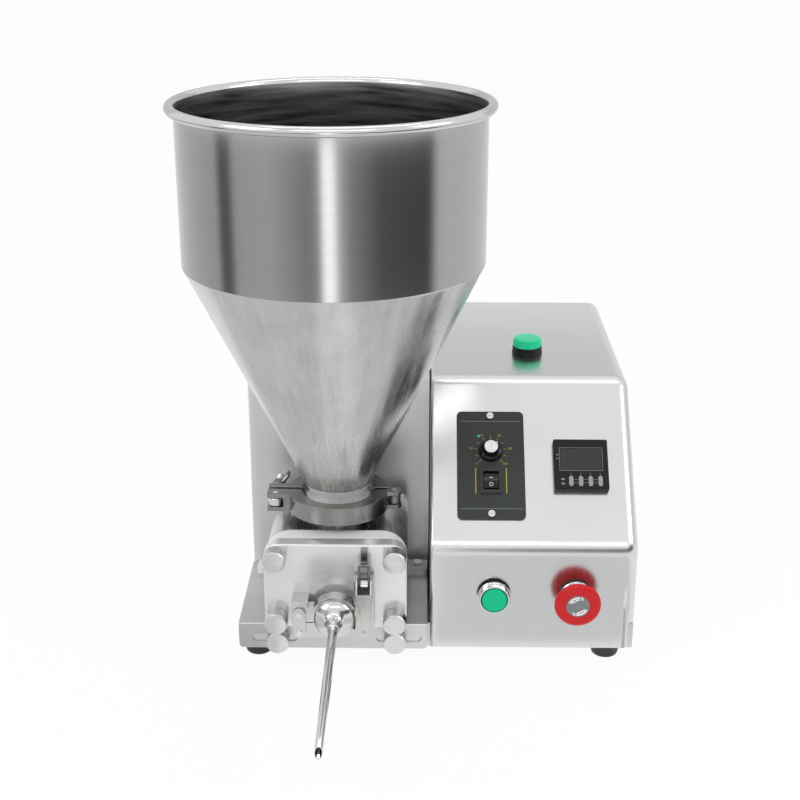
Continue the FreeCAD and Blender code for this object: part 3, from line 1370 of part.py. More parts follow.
def latch_lever():
    """Tapered channel that hangs from its pivot, with a rivet near its lower end."""
    front = LATCH_PIVOT_Y - LATCH_FRONT
    high = LATCH_PIVOT_Z + LATCH_ABOVE
    low = LATCH_PIVOT_Z - LATCH_BELOW
    flange_back = LATCH_PIVOT_Y + LATCH_FLANGE_BACK
    wide, narrow = LATCH_WIDTH / 2, LATCH_FOOT_WIDTH / 2

    def channel(inset, y0, y1):
        corners = [
            Vector(latch_x - narrow + inset, y0, low),
            Vector(latch_x + narrow - inset, y0, low),
            Vector(latch_x + wide - inset, y0, LATCH_PIVOT_Z - LATCH_ABOVE),
            Vector(latch_x + wide - inset, y0, high),
            Vector(latch_x - wide + inset, y0, high),
            Vector(latch_x - wide + inset, y0, LATCH_PIVOT_Z - LATCH_ABOVE),
        ]
        return prism(corners, 0, back * (y1 - y0))

    lever = channel(0, front, flange_back).cut(channel(LATCH_SHEET, front + LATCH_SHEET, flange_back))
    slant = [
        Vector(latch_x - wide, front + LATCH_FOOT_DEPTH, low),
        Vector(latch_x - wide, flange_back + OVERCUT, low),
        Vector(latch_x - wide, flange_back + OVERCUT, LATCH_PIVOT_Z - 2 * LATCH_ABOVE),
    ]
    web_top = LATCH_PIVOT_Z - LATCH_WEB_DROP
    shoulder = [
        Vector(latch_x - wide, front, web_top),
        Vector(latch_x - wide, LATCH_PIVOT_Y - LATCH_ARM, high),
        Vector(latch_x - wide, front, high),
    ]
    room = box(latch_x - wide + LATCH_SHEET, latch_x + wide - LATCH_SHEET, front, flange_back, web_top, high)
    lever = lever.cut([prism(slant, 0, right * LATCH_WIDTH), prism(shoulder, 0, right * LATCH_WIDTH), room])
    rivet = rod_y(RIVET_R, latch_x, low + RIVET_UP, front - RIVET_HEAD, front + LATCH_SHEET + RIVET_HEAD)
    lever = join(lever, rivet)
    x0, x1 = latch_x - wide, latch_x + wide
    y, z = bail_pivot()
    pivot = rod_x(LATCH_PIN_R + RUN_FIT, LATCH_PIVOT_Y, LATCH_PIVOT_Z, x0, x1)
    return lever.cut([pivot, rod_x(BAIL_R + RUN_FIT, y, z, x0, x1)])


def latch_bail():
    """Wire loop from the lever's flanges up over the hook."""
    y, z = bail_pivot()
    foot = LATCH_WIDTH / 2 - LATCH_SHEET - BAIL_R - FACE_GAP
    end = LATCH_WIDTH / 2
    top = z + BAIL_LENGTH
    parts = []
    for side in (-1, 1):
        low_point = Vector(latch_x + side * foot, y, z)
        high_point = Vector(latch_x + side * BAIL_TOP_HALF, y, top)
        parts.append(rod(BAIL_R, low_point, high_point))
        parts.append(rod(BAIL_R, low_point, Vector(latch_x + side * end, y, z)))
        parts += [Part.makeSphere(BAIL_R, low_point), Part.makeSphere(BAIL_R, high_point)]
    parts.append(rod_x(BAIL_R, y, top, latch_x - BAIL_TOP_HALF, latch_x + BAIL_TOP_HALF))
    return join(parts[0], *parts[1:])


def latch_hook():
    """Hook on the pump cover whose upturned tip holds the bail's crossbar."""
    y, z = bail_pivot()
    rest = z + BAIL_LENGTH - BAIL_R - FACE_GAP
    tip_y = y - BAIL_R - HOOK_TIP
    x0, x1 = latch_x - HOOK_WIDTH / 2, latch_x + HOOK_WIDTH / 2
    throat = rest - HOOK_THICK
    corners = [
        Vector(x0, COVER_FRONT, throat - HOOK_THICK),
        Vector(x0, tip_y - HOOK_THICK, throat),
        Vector(x0, tip_y - HOOK_THICK, rest + HOOK_REACH),
        Vector(x0, tip_y, rest + HOOK_REACH),
        Vector(x0, tip_y, rest),
        Vector(x0, COVER_FRONT - HOOK_THICK, rest),
        Vector(x0, COVER_FRONT - HOOK_THICK, rest + HOOK_RISE),
        Vector(x0, COVER_FRONT, rest + HOOK_RISE),
    ]
    bend, edge = HOOK_BEND_R, HOOK_EDGE_R
    return prism(corners, [0, bend, edge, edge, edge, edge, bend, 0], right * (x1 - x0))


# Panel devices


def start_bezel():
    """Chrome ring with its threaded barrel through the panel."""
    profile = [
        (START_STEM_R + RUN_FIT, -BARREL_LENGTH),
        (DEVICE_HOLE_R, -BARREL_LENGTH),
        (DEVICE_HOLE_R, 0),
        (BEZEL_R - BEZEL_STEP, 0),
        (BEZEL_R - BEZEL_STEP, BEZEL_GASKET),
        (BEZEL_R, BEZEL_GASKET + BEZEL_STEP),
        (BEZEL_R, BEZEL_HEIGHT - BEZEL_CHAMFER),
        (BEZEL_R - BEZEL_CHAMFER, BEZEL_HEIGHT),
        (BEZEL_BORE_R, BEZEL_HEIGHT),
        (BEZEL_BORE_R, BEZEL_HEIGHT - BEZEL_POCKET),
        (START_STEM_R + RUN_FIT, BEZEL_HEIGHT - BEZEL_POCKET),
    ]
    return turned(profile, Vector(START_X, CONSOLE_SETBACK, button_z), -back)


def start_button():
    top = BEZEL_HEIGHT + START_CAP_PROUD
    under = top - START_CAP
    profile = [
        (0, -BARREL_LENGTH - STEM_PAST),
        (START_STEM_R, -BARREL_LENGTH - STEM_PAST),
        (START_STEM_R, under),
        (START_CAP_R, under),
        (START_CAP_R, top - START_CAP_CHAMFER),
        (START_CAP_R - START_CAP_CHAMFER, top),
        (0, top),
    ]
    return turned(profile, Vector(START_X, CONSOLE_SETBACK, button_z), -back)


def estop_collar():
    height = ESTOP_COLLAR
    bore = ESTOP_STEM_R + RUN_FIT
    profile = [
        (bore, -BARREL_LENGTH),
        (DEVICE_HOLE_R, -BARREL_LENGTH),
        (DEVICE_HOLE_R, 0),
        (ESTOP_COLLAR_R, 0),
        (ESTOP_COLLAR_R, height / 2),
        (ESTOP_COLLAR_R - ESTOP_COLLAR_TAPER, height),
        (bore, height),
    ]
    return turned(profile, Vector(ESTOP_X, CONSOLE_SETBACK, button_z), -back)


def estop_stem():
    top = ESTOP_COLLAR + ESTOP_HEAD_GAP
    profile = [
        (0, -BARREL_LENGTH - STEM_PAST),
        (ESTOP_STEM_R, -BARREL_LENGTH - STEM_PAST),
        (ESTOP_STEM_R, top),
        (ESTOP_SPIGOT_R, top),
        (ESTOP_SPIGOT_R, top + ESTOP_SPIGOT),
        (0, top + ESTOP_SPIGOT),
    ]
    return turned(profile, Vector(ESTOP_X, CONSOLE_SETBACK, button_z), -back)


def estop_head():
    low = ESTOP_COLLAR + ESTOP_HEAD_GAP + FACE_GAP
    top = low + ESTOP_HEAD
    bore = ESTOP_SPIGOT_R + RUN_FIT
    bore_end = low + ESTOP_SPIGOT + ESTOP_SPIGOT_ROOM
    profile = [
        (0, bore_end),
        (bore, bore_end),
        (bore, low),
        (ESTOP_NECK_R, low),
        (ESTOP_UNDER_R, low + ESTOP_UNDER_RISE),
        (ESTOP_HEAD_R, low + ESTOP_RIM_RISE),
        (ESTOP_HEAD_R, top - ESTOP_EDGE_R),
        (ESTOP_HEAD_R - ESTOP_EDGE_IN, top - ESTOP_EDGE_DROP),
        (ESTOP_HEAD_R - ESTOP_EDGE_R, top),
        (0, top),
    ]
    return turned(profile, Vector(ESTOP_X, CONSOLE_SETBACK, button_z), -back)


def pilot_base():
    profile = [
        (PILOT_BORE_R, -BARREL_LENGTH),
        (DEVICE_HOLE_R, -BARREL_LENGTH),
        (DEVICE_HOLE_R, 0),
        (PILOT_R, 0),
        (PILOT_R, PILOT_BASE),
        (PILOT_BORE_R, PILOT_BASE),
    ]
    return turned(profile, Vector(PILOT_X, PILOT_Y, housing_top), up)


def pilot_lens():
    top = PILOT_BASE + PILOT_LENS
    lens = turned(
        [(0, PILOT_BASE), (PILOT_LENS_R, PILOT_BASE), (PILOT_LENS_R, top), (0, top)],
        Vector(PILOT_X, PILOT_Y, housing_top),
        up,
    )
    rim = edges_where(lens, lambda p: near(p.z, housing_top + top))
    lens = lens.makeFillet(PILOT_EDGE_R, rim)
    seat = housing_top + PILOT_BASE
    return join(lens, rod_z(PILOT_BORE_R, PILOT_X, PILOT_Y, seat - PILOT_PLUG, seat))


def locknut(base, axis):
    return hexagon(LOCKNUT_R, LOCKNUT, base, axis).cut(rod(DEVICE_HOLE_R, base, base + axis * LOCKNUT))


def device_locknuts():
    inside = CONSOLE_SETBACK + SHEET
    nuts = [locknut(Vector(x, inside, button_z), back) for x in (START_X, ESTOP_X)]
    nuts.append(locknut(Vector(PILOT_X, PILOT_Y, housing_top - SHEET), -up))
    return nuts


def switch_blocks():
    """Contact blocks clipped on the barrels of the start button and the emergency stop."""
    blocks = []
    start = CONSOLE_SETBACK + SHEET + LOCKNUT
    for x, stem_r in ((START_X, START_STEM_R), (ESTOP_X, ESTOP_STEM_R)):
        barrel_end = CONSOLE_SETBACK + BARREL_LENGTH
        end = barrel_end + BLOCK_DEPTH
        block = plate_y(x, button_z, BLOCK_WIDTH, BLOCK_HEIGHT, start, end, BLOCK_CORNER_R)
        barrel = rod_y(DEVICE_HOLE_R, x, button_z, start, barrel_end)
        room = rod_y(stem_r + SHAFT_ROOM, x, button_z, start, barrel_end + START_TRAVEL + BLOCK_ROOM)
        blocks.append(block.cut([barrel, room]))
    return Part.makeCompound(blocks)


def rocker_axis_z():
    """Height of the rocker's pivot off the panel."""
    return SPEED_PLATE + ROCKER_FRAME - ROCKER_DIP


def speed_panel():
    """Face plate with the rocker's frame moulded on."""
    plate = plate_z(SPEED_X, SPEED_S, SPEED_WIDTH, SPEED_HEIGHT, 0, SPEED_PLATE, SPEED_CORNER_R)
    high = SPEED_PLATE + ROCKER_FRAME
    frame_width, frame_height = ROCKER_FRAME_WIDTH, ROCKER_FRAME_HEIGHT
    frame = plate_z(SPEED_X, ROCKER_S, frame_width, frame_height, 0, high, ROCKER_FRAME_CORNER_R)
    panel = join(plate, frame)
    well_width = ROCKER_WIDTH + 2 * ROCKER_GAP
    well_height = 2 * (ROCKER_R + ROCKER_GAP)
    well = plate_z(SPEED_X, ROCKER_S, well_width, well_height, 0, high, ROCKER_WELL_CORNER_R)
    cuts = [well, rod_z(SPEED_STEM_R + RUN_FIT, SPEED_X, KNOB_S, 0, high)]
    cuts += [rod_z(SCREW_R, p.x, p.y, 0, high) for p in slope_screw_places()]
    return on_slope(panel.cut(cuts))


def speed_controller():
    """Body of the speed control, behind the face plate, with the rocker's well and the knob's bore."""
    body = plate_z(SPEED_X, SPEED_S, SPEED_BODY_WIDTH, SPEED_BODY_HEIGHT, -SPEED_BODY_DEPTH, 0, SPEED_CORNER_R)
    half = ROCKER_WIDTH / 2
    well = box(
        SPEED_X - half - ROCKER_GAP,
        SPEED_X + half + ROCKER_GAP,
        ROCKER_S - ROCKER_R - ROCKER_GAP,
        ROCKER_S + ROCKER_R + ROCKER_GAP,
        -ROCKER_R - ROCKER_ROOM,
        0,
    )
    pivot_z = rocker_axis_z() - ROCKER_DEPTH / 2
    pin_half = half + ROCKER_PIN_END
    pin = rod_x(ROCKER_PIN_R, ROCKER_S, pivot_z, SPEED_X - pin_half, SPEED_X + pin_half)
    bore = rod_z(SPEED_STEM_R + RUN_FIT, SPEED_X, KNOB_S, -SPEED_STEM - STEM_PAST, 0)
    screws = [rod_z(SCREW_R, p.x, p.y, p.z - SCREW_GRIP, p.z) for p in slope_screw_places()]
    return on_slope(join(body.cut(well), pin).cut([bore] + screws))


def rocker_switch():
    """Rocker tipped to its off side, on its pin."""
    half = ROCKER_WIDTH / 2
    pivot_z = rocker_axis_z() - ROCKER_DEPTH / 2
    round_part = rod_x(ROCKER_R, ROCKER_S, pivot_z, SPEED_X - half, SPEED_X + half)
    face = rocker_axis_z()
    wide = ROCKER_R + OVERCUT
    keep = [
        Vector(SPEED_X - half, ROCKER_S - wide, face - ROCKER_DEPTH),
        Vector(SPEED_X - half, ROCKER_S + wide, face - ROCKER_DEPTH),
        Vector(SPEED_X - half, ROCKER_S + wide, face + ROCKER_RISE),
        Vector(SPEED_X - half, ROCKER_S, face + ROCKER_DIP / 2),
        Vector(SPEED_X - half, ROCKER_S - wide, face + ROCKER_RISE),
    ]
    rocker = round_part.common(prism(keep, 0, right * ROCKER_WIDTH))
    rocker = rocker.cut(rod_x(ROCKER_PIN_R + RUN_FIT, ROCKER_S, pivot_z, SPEED_X - half, SPEED_X + half))
    rocker.rotate(Vector(SPEED_X, ROCKER_S, pivot_z), right, ROCKER_TILT)
    return on_slope(rocker)


def speed_knob():
    """Black skirted knob with a turned cap, on the speed control's stem."""
    low = SPEED_PLATE + FACE_GAP
    profile = [
        (0, -SPEED_STEM),
        (SPEED_STEM_R, -SPEED_STEM),
        (SPEED_STEM_R, low),
        (SKIRT_R, low),
        (SKIRT_R, low + SKIRT_EDGE),
        (SKIRT_R - SKIRT_TAPER, low + SKIRT),
        (GRIP_R, low + SKIRT),
        (GRIP_TOP_R, low + GRIP),
        (0, low + GRIP),
    ]
    knob = turned(profile, Vector(SPEED_X, KNOB_S, 0), up)
    half, rise = POINTER / 2, low + POINTER_RISE
    pointer = box(0, SKIRT_R - POINTER_SHORT, -half, half, rise, rise + SKIRT)
    pointer.rotate(Vector(), up, 90 - POINTER_ANGLE)
    pointer.translate(Vector(SPEED_X, KNOB_S, 0))
    return on_slope(join(knob, pointer))


def key_x(i):
    return KEY_FIRST_X + i * KEY_PITCH


def timer_case():
    """Square bezel with window recess and key wells, and its body through the panel."""
    bezel = plate_z(TIMER_X, TIMER_S, TIMER_SIZE, TIMER_SIZE, 0, TIMER_PROUD, TIMER_CORNER_R)
    rim = edges_where(bezel, lambda p: near(p.z, TIMER_PROUD))
    bezel = bezel.makeChamfer(TIMER_CHAMFER, rim)
    body = plate_z(TIMER_X, TIMER_S, TIMER_BODY, TIMER_BODY, -TIMER_DEPTH, 0, TIMER_CORNER_R)
    case = join(bezel, body)
    high = TIMER_PROUD
    deep = high - WINDOW_DEEP
    cuts = [plate_z(TIMER_X, WINDOW_S, WINDOW_WIDTH, WINDOW_HEIGHT, deep, high, WINDOW_CORNER_R)]
    floor = high - (KEY_THICK - KEY_PROUD) - KEY_TRAVEL - KEY_GAP
    width, length = KEY_WIDTH + 2 * KEY_GAP, KEY_LENGTH + 2 * KEY_GAP
    for i in range(KEY_COUNT):
        cuts.append(plate_z(key_x(i), KEY_S, width, length, floor, high, full_round(width)))
    return on_slope(case.cut(cuts))


def timer_key(i):
    top = TIMER_PROUD + KEY_PROUD
    low = top - KEY_THICK
    return on_slope(plate_z(key_x(i), KEY_S, KEY_WIDTH, KEY_LENGTH, low, top, full_round(KEY_WIDTH)))


# Every sub-part by its name, moved so that the origin is under the middle of the machine


def sub_parts():
    parts = {
        "base_tray": base_tray(),
        "pump_shelf": pump_shelf(),
        "drive_housing": drive_housing(),
        "control_housing": control_housing(),
        "rear_cover": rear_cover(),
        "power_inlet": power_inlet(),
        "rubber_feet": rubber_feet(),
        "machine_fasteners": machine_fasteners(),
        "hopper_drum": hopper_drum(),
        "hopper_cone": hopper_cone(),
        "hopper_clamp_front": hopper_clamp_front(),
        "hopper_clamp_rear": hopper_clamp_rear(),
        "clamp_swing_bolt": clamp_swing_bolt(),
        "clamp_wing_nut": clamp_wing_nut(),
        "clamp_gaskets": clamp_gaskets(),
        "clamp_pins": clamp_pins(),
        "pump_body": pump_body(),
        "pump_wear_plate": pump_wear_plate(),
        "pump_front_cover": pump_front_cover(),
        "pump_seals": pump_seals(),
        "pump_studs": pump_studs(),
        "pump_bracket": pump_bracket(),
        "drive_gear": drive_gear(),
        "idler_gear": idler_gear(),
        "drive_shaft": drive_shaft(),
        "output_hub": output_hub(),
        "shaft_bushes": shaft_bushes(),
        "gearbox": gearbox(),
        "gear_motor": gear_motor(),
        "motor_bracket": motor_bracket(),
        "nozzle": nozzle(),
        "nozzle_clamp_upper": nozzle_clamp_upper(),
        "nozzle_clamp_lower": nozzle_clamp_lower(),
        "nozzle_clamp_link": nozzle_clamp_link(),
        "latch_lever": latch_lever(),
        "latch_bail": latch_bail(),
        "latch_hook": latch_hook(),
        "start_bezel": start_bezel(),
        "start_button": start_button(),
        "estop_collar": estop_collar(),
        "estop_stem": estop_stem(),
        "estop_head": estop_head(),
        "pilot_base": pilot_base(),
        "pilot_lens": pilot_lens(),
        "switch_blocks": switch_blocks(),
        "speed_panel": speed_panel(),
        "speed_controller": speed_controller(),
        "rocker_switch": rocker_switch(),
        "speed_knob": speed_knob(),
        "timer_case": timer_case(),
    }
    for side, x in zip(("left", "right"), knob_xs):
        parts[f"shelf_knob_{side}"] = shelf_knob(x)
    for i, (x, z) in enumerate(stud_places()):
        parts[f"cover_nut_{i + 1}"] = thumb_nut(x, z)
    for i in range(KEY_COUNT):
        parts[f"timer_key_{i + 1}"] = timer_key(i)
    return parts


def origin():
    """Middle of the machine's outline on the floor, in the machine frame."""
    left = min(-DRIVE_WIDTH - SCREW_HEAD, pump_x - rim_outer_r)
    edge = max(CONTROL_WIDTH + SCREW_HEAD, pump_x + rim_outer_r)
    rear = MACHINE_DEPTH + max(INLET_PROUD, SCREW_HEAD)
    return Vector((left + edge) / 2, (TUBE_TIP_Y + rear) / 2, 0)


def main():
    os.makedirs("parts", exist_ok=True)
    parts = sub_parts()
    middle = origin()
    for name, shape in parts.items():
        shape.translate(-middle)
        shape.exportStep(f"parts/{name}.step")
        print(name, shape.isValid(), len(shape.Solids), round(shape.Volume, 1))


main()
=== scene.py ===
import math

import bmesh
import bpy
from mathutils import Matrix, Vector


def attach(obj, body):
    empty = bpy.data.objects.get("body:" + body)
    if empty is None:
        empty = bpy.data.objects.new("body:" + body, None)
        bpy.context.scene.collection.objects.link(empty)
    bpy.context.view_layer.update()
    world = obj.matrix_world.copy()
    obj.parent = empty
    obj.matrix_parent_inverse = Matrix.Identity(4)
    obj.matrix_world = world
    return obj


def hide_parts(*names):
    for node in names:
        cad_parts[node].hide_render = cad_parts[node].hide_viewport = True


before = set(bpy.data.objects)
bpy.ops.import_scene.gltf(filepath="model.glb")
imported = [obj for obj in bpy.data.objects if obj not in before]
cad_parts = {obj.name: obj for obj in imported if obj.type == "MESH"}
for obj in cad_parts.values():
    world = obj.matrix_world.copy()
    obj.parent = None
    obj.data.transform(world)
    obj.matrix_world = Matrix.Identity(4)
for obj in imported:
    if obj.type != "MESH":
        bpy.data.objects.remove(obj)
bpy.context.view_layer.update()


# The studio. The machine stands on a white sweep under soft lamps, in front of a camera that looks
# a little down on it. A ring of grey cards stands round the hopper, as a photographer sets them up
# to give a polished drum its dark and bright bands; only reflections see them.

# Everything is drawn in millimetres from the seam between the two housings, the front of the pump
# shelf and the floor, and brought into the frame by this matrix.
SEAM = Vector((0.01655, -0.06925, 0.0))
INTO_FRAME = Matrix.Translation(SEAM) @ Matrix.Scale(0.001, 4)
FORWARD = (0, -1, 0)
REARWARD = (0, 1, 0)


def at(x, y, z):
    return INTO_FRAME @ Vector((x, y, z))


def link(obj):
    bpy.context.scene.collection.objects.link(obj)
    return obj


def aim(obj, target):
    obj.rotation_euler = (target - obj.location).to_track_quat("-Z", "Y").to_euler()


LENS = 62.46
CAMERA_PLACE = (-9.33, -1074.22, 656.91)
CAMERA_DIP = 0.36355
CAMERA_YAW = 0.01567
camera = link(bpy.data.objects.new("camera", bpy.data.cameras.new("camera")))
camera.data.lens = LENS
camera.data.sensor_width = 36
camera.data.clip_start = 0.05
camera.location = at(*CAMERA_PLACE)
camera.rotation_euler = (math.radians(90) - CAMERA_DIP, 0.0, CAMERA_YAW)
bpy.context.scene.camera = camera
bpy.context.scene.view_settings.view_transform = "Standard"


def set_sockets(node, **sockets):
    """Sets a shader node's inputs; an underscore stands for a space in a socket's name."""
    for socket, value in sockets.items():
        node.inputs[socket.replace("_", " ")].default_value = value


def shader(tree, kind, **sockets):
    node = tree.nodes.new("ShaderNode" + kind)
    set_sockets(node, **sockets)
    return node


def wire(tree, *runs):
    """Joins shader nodes: a run is a node, its output, the next node and its input."""
    for source, output, target, socket in runs:
        tree.links.new(source.outputs[output], target.inputs[socket])


def bare_material(name):
    """A material whose tree holds only its output."""
    material = bpy.data.materials.new(name)
    material.use_nodes = True
    tree = material.node_tree
    tree.nodes.remove(tree.nodes["Principled BSDF"])
    return material


def see_white(tree, plain, white):
    """Camera, mirror and glass rays meet the white shader and all others the plain one."""
    ray = shader(tree, "LightPath")
    chosen = ray.outputs["Is Camera Ray"]
    for other in ("Is Glossy Ray", "Is Transmission Ray"):
        either = shader(tree, "Math")
        either.operation = "MAXIMUM"
        tree.links.new(chosen, either.inputs[0])
        tree.links.new(ray.outputs[other], either.inputs[1])
        chosen = either.outputs[0]
    mix = shader(tree, "MixShader")
    tree.links.new(chosen, mix.inputs["Fac"])
    tree.links.new(plain, mix.inputs[1])
    tree.links.new(white, mix.inputs[2])
    return mix.outputs["Shader"]


def mesh_of(name, bm):
    """Turns a bmesh into a mesh and frees it."""
    mesh = bpy.data.meshes.new(name)
    bm.to_mesh(mesh)
    bm.free()
    return mesh


def turned(bm, degrees, axis, centre=(0, 0, 0)):
    """Turns a bmesh about an axis through centre."""
    turn = Matrix.Rotation(math.radians(degrees), 3, axis)
    bmesh.ops.rotate(bm, verts=bm.verts, cent=centre, matrix=turn)


def moved(bm, way):
    bmesh.ops.translate(bm, verts=bm.verts, vec=way)


SOFT_LIGHT = 0.66
world = bpy.data.worlds.new("studio")
bpy.context.scene.world = world
world.use_nodes = True
sky = world.node_tree
soft = sky.nodes["Background"]
set_sockets(soft, Color=(1, 1, 1, 1), Strength=SOFT_LIGHT)
white = shader(sky, "Background", Color=(1, 1, 1, 1), Strength=1.0)
world_mix = see_white(sky, soft.outputs[0], white.outputs[0])
sky.links.new(world_mix, sky.nodes["World Output"].inputs["Surface"])

FLOOR_HALF_WIDTH = 14
UNDER_THE_FEET = 0.0003
SHADOW_FADED = 0.93
sweep = bare_material("white sweep")
paper = sweep.node_tree
matte = shader(paper, "BsdfDiffuse", Color=(0.97, 0.97, 0.97, 1))
lit = shader(paper, "Emission", Color=(1, 1, 1, 1), Strength=1.0)
faded = shader(paper, "MixShader", Fac=SHADOW_FADED)
paper.links.new(matte.outputs[0], faded.inputs[1])
paper.links.new(lit.outputs[0], faded.inputs[2])
floor_mix = see_white(paper, matte.outputs[0], faded.outputs[0])
paper.links.new(floor_mix, paper.nodes["Material Output"].inputs["Surface"])
ground_grid = bmesh.new()
bmesh.ops.create_grid(ground_grid, x_segments=1, y_segments=1, size=FLOOR_HALF_WIDTH)
floor_mesh = mesh_of("floor", ground_grid)
floor_mesh.materials.append(sweep)
floor = link(bpy.data.objects.new("floor", floor_mesh))
floor.location.z = -UNDER_THE_FEET


def only_mirrored(name, bm, material):
    """Links into the scene a piece of the studio that reflections see and nothing else does."""
    mesh = mesh_of(name, bm)
    mesh.materials.append(material)
    piece = link(bpy.data.objects.new(name, mesh))
    for ray in ("camera", "diffuse", "shadow", "transmission"):
        setattr(piece, f"visible_{ray}", False)


HOPPER_X, HOPPER_Y = -82.2, 56
HOPPER_BASE = (HOPPER_X, HOPPER_Y, 0)
DRUM_AXIS = at(*HOPPER_BASE)
CARD_DISTANCE = 0.72
CARD_EDGES = (0.14, 0.37)
CARD_GLOW = 2.0
# Angles in turns, a quarter being straight towards the camera, each with its card's brightness.
CARDS = (
    (0.000, 0.28),
    (0.022, 0.28),
    (0.034, 0.06),
    (0.056, 0.06),
    (0.070, 0.27),
    (0.140, 0.29),
    (0.185, 0.21),
    (0.212, 0.15),
    (0.235, 0.18),
    (0.243, 1.00),
    (0.259, 1.00),
    (0.268, 0.34),
    (0.290, 0.17),
    (0.345, 0.06),
    (0.448, 0.04),
    (0.468, 0.36),
    (0.660, 0.42),
    (0.760, 0.50),
    (1.000, 0.28),
)
ring = bmesh.new()
start = [ring.verts.new((CARD_DISTANCE, 0, z)) for z in CARD_EDGES]
rise = ring.edges.new(start)
bmesh.ops.spin(
    ring, geom=start + [rise], cent=(0, 0, 0), axis=(0, 0, 1), angle=math.tau, steps=96, use_merge=True
)
moved(ring, DRUM_AXIS)
card = bare_material("grey cards")
tree = card.node_tree
place = shader(tree, "TexCoord")
centre = shader(tree, "Mapping", Location=(-DRUM_AXIS.x, -DRUM_AXIS.y, 0))
turn = shader(tree, "TexGradient")
turn.gradient_type = "RADIAL"
bands = shader(tree, "ValToRGB")
while len(bands.color_ramp.elements) < len(CARDS):
    bands.color_ramp.elements.new(0.5)
for stop, (angle, level) in zip(bands.color_ramp.elements, CARDS):
    stop.position = angle
    stop.color = (level, level, level, 1)
glow = shader(tree, "Emission", Strength=CARD_GLOW)
wire(
    tree,
    (place, "Object", centre, "Vector"),
    (centre, "Vector", turn, "Vector"),
    (turn, "Fac", bands, "Fac"),
    (bands, "Color", glow, "Color"),
    (glow, "Emission", tree.nodes["Material Output"], "Surface"),
)
only_mirrored("card_ring", ring, card)


# Four lamps light the sweep and the machine. Grey boards lie on the floor at the left and in front,
# and stand behind and before the pump, where the flat sheets would mirror nothing but white.


def softbox(name, place_m, target_m, width, height, watts):
    lamp = bpy.data.lights.new(name, "AREA")
    lamp.shape = "RECTANGLE"
    lamp.size = width
    lamp.size_y = height
    lamp.energy = watts
    box = link(bpy.data.objects.new(name, lamp))
    box.location = place_m
    aim(box, Vector(target_m))


def board(name, centre_mm, width, height, level, upright=False):
    grey = bare_material(name)
    board_tree = grey.node_tree
    shine = shader(board_tree, "Emission", Color=(level, level, level, 1))
    wire(board_tree, (shine, "Emission", board_tree.nodes["Material Output"], "Surface"))
    flat = bmesh.new()
    bmesh.ops.create_grid(flat, x_segments=1, y_segments=1, size=0.5)
    bmesh.ops.scale(flat, vec=(width * 0.001, height * 0.001, 1), verts=flat.verts)
    if upright:
        turned(flat, 90, "X")
    moved(flat, at(*centre_mm))
    only_mirrored(name, flat, grey)


softbox("front_strip", (0.1, -1.45, 1.65), (0.1, -0.05, 0.15), 1.6, 0.14, 4)
softbox("top_strip", (0.1, 0.32, 2.0), (0.1, 0.1, 0.2), 1.6, 0.14, 4)
softbox("left_box", (-1.5, -0.9, 1.5), (0, 0, 0.2), 0.9, 0.9, 9)
softbox("right_box", (1.7, -0.4, 1.3), (0, 0, 0.2), 0.8, 0.8, 6)
board("pump_board", (-85, -112, 37), 62, 30, 0.12, upright=True)
board("left_board", (-480, -260, 1.0), 690, 1100, 0.74)
board("front_board", (150, -215, 1.0), 290, 380, 0.76)
board("back_board", (0, 1150, 640), 2600, 760, 0.68, upright=True)


# The frame of the machine is a shallow tray folded from stainless sheet, with a flat bar welded
# along its front for the thumb screws. Four moulded rubber feet are screwed up into it.


def finish_named(name):
    """A new material with its node tree and its surface shader."""
    finish = bpy.data.materials.new(name)
    finish.use_nodes = True
    return finish, finish.node_tree, finish.node_tree.nodes["Principled BSDF"]


def toned(colour, factor):
    """A colour made darker or lighter, but no lighter than white."""
    return (*(min(1, c * factor) for c in colour), 1)


def tone_ramp(tree, low, dark, high, light):
    """A colour ramp from a dark tone at low to a light one at high."""
    ramp = shader(tree, "ValToRGB")
    for stop, position, colour in zip(ramp.color_ramp.elements, (low, high), (dark, light)):
        stop.position = position
        stop.color = colour
    return ramp


def grained(
    name,
    colour,
    rough,
    along=(1, 1, 1),
    grain=700,
    depth=0.03,
    spread=0.05,
    metallic=1.0,
    **sockets,
):
    """A finish with a fine directional grain, a cloudy tone and a roughness that wanders a little."""
    finish, tree, surface = finish_named(name)
    set_sockets(surface, Metallic=metallic, **sockets)
    place = shader(tree, "TexCoord")
    stretch = shader(tree, "Mapping", Scale=along)
    lines = shader(tree, "TexNoise", Scale=grain, Detail=5)
    cloud = shader(tree, "TexNoise", Scale=9, Detail=6, Roughness=0.6)
    tone = tone_ramp(tree, 0.3, toned(colour, 1 - 1.6 * spread), 0.7, toned(colour, 1 + spread))
    wander = shader(
        tree, "MapRange", From_Min=0.3, From_Max=0.7, To_Min=rough * 0.85, To_Max=min(1, rough * 1.2)
    )
    relief = shader(tree, "Bump", Strength=depth, Distance=0.0005)
    wire(
        tree,
        (place, "Object", stretch, "Vector"),
        (stretch, "Vector", lines, "Vector"),
        (place, "Object", cloud, "Vector"),
        (cloud, "Fac", tone, "Fac"),
        (tone, "Color", surface, "Base Color"),
        (lines, "Fac", wander, "Value"),
        (wander, "Result", surface, "Roughness"),
        (lines, "Fac", relief, "Height"),
        (relief, "Normal", surface, "Normal"),
    )
    return finish


def dress(finish, *nodes):
    """Gives CAD nodes their finish."""
    for node in nodes:
        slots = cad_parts[node].data.materials
        slots.clear()
        slots.append(finish)


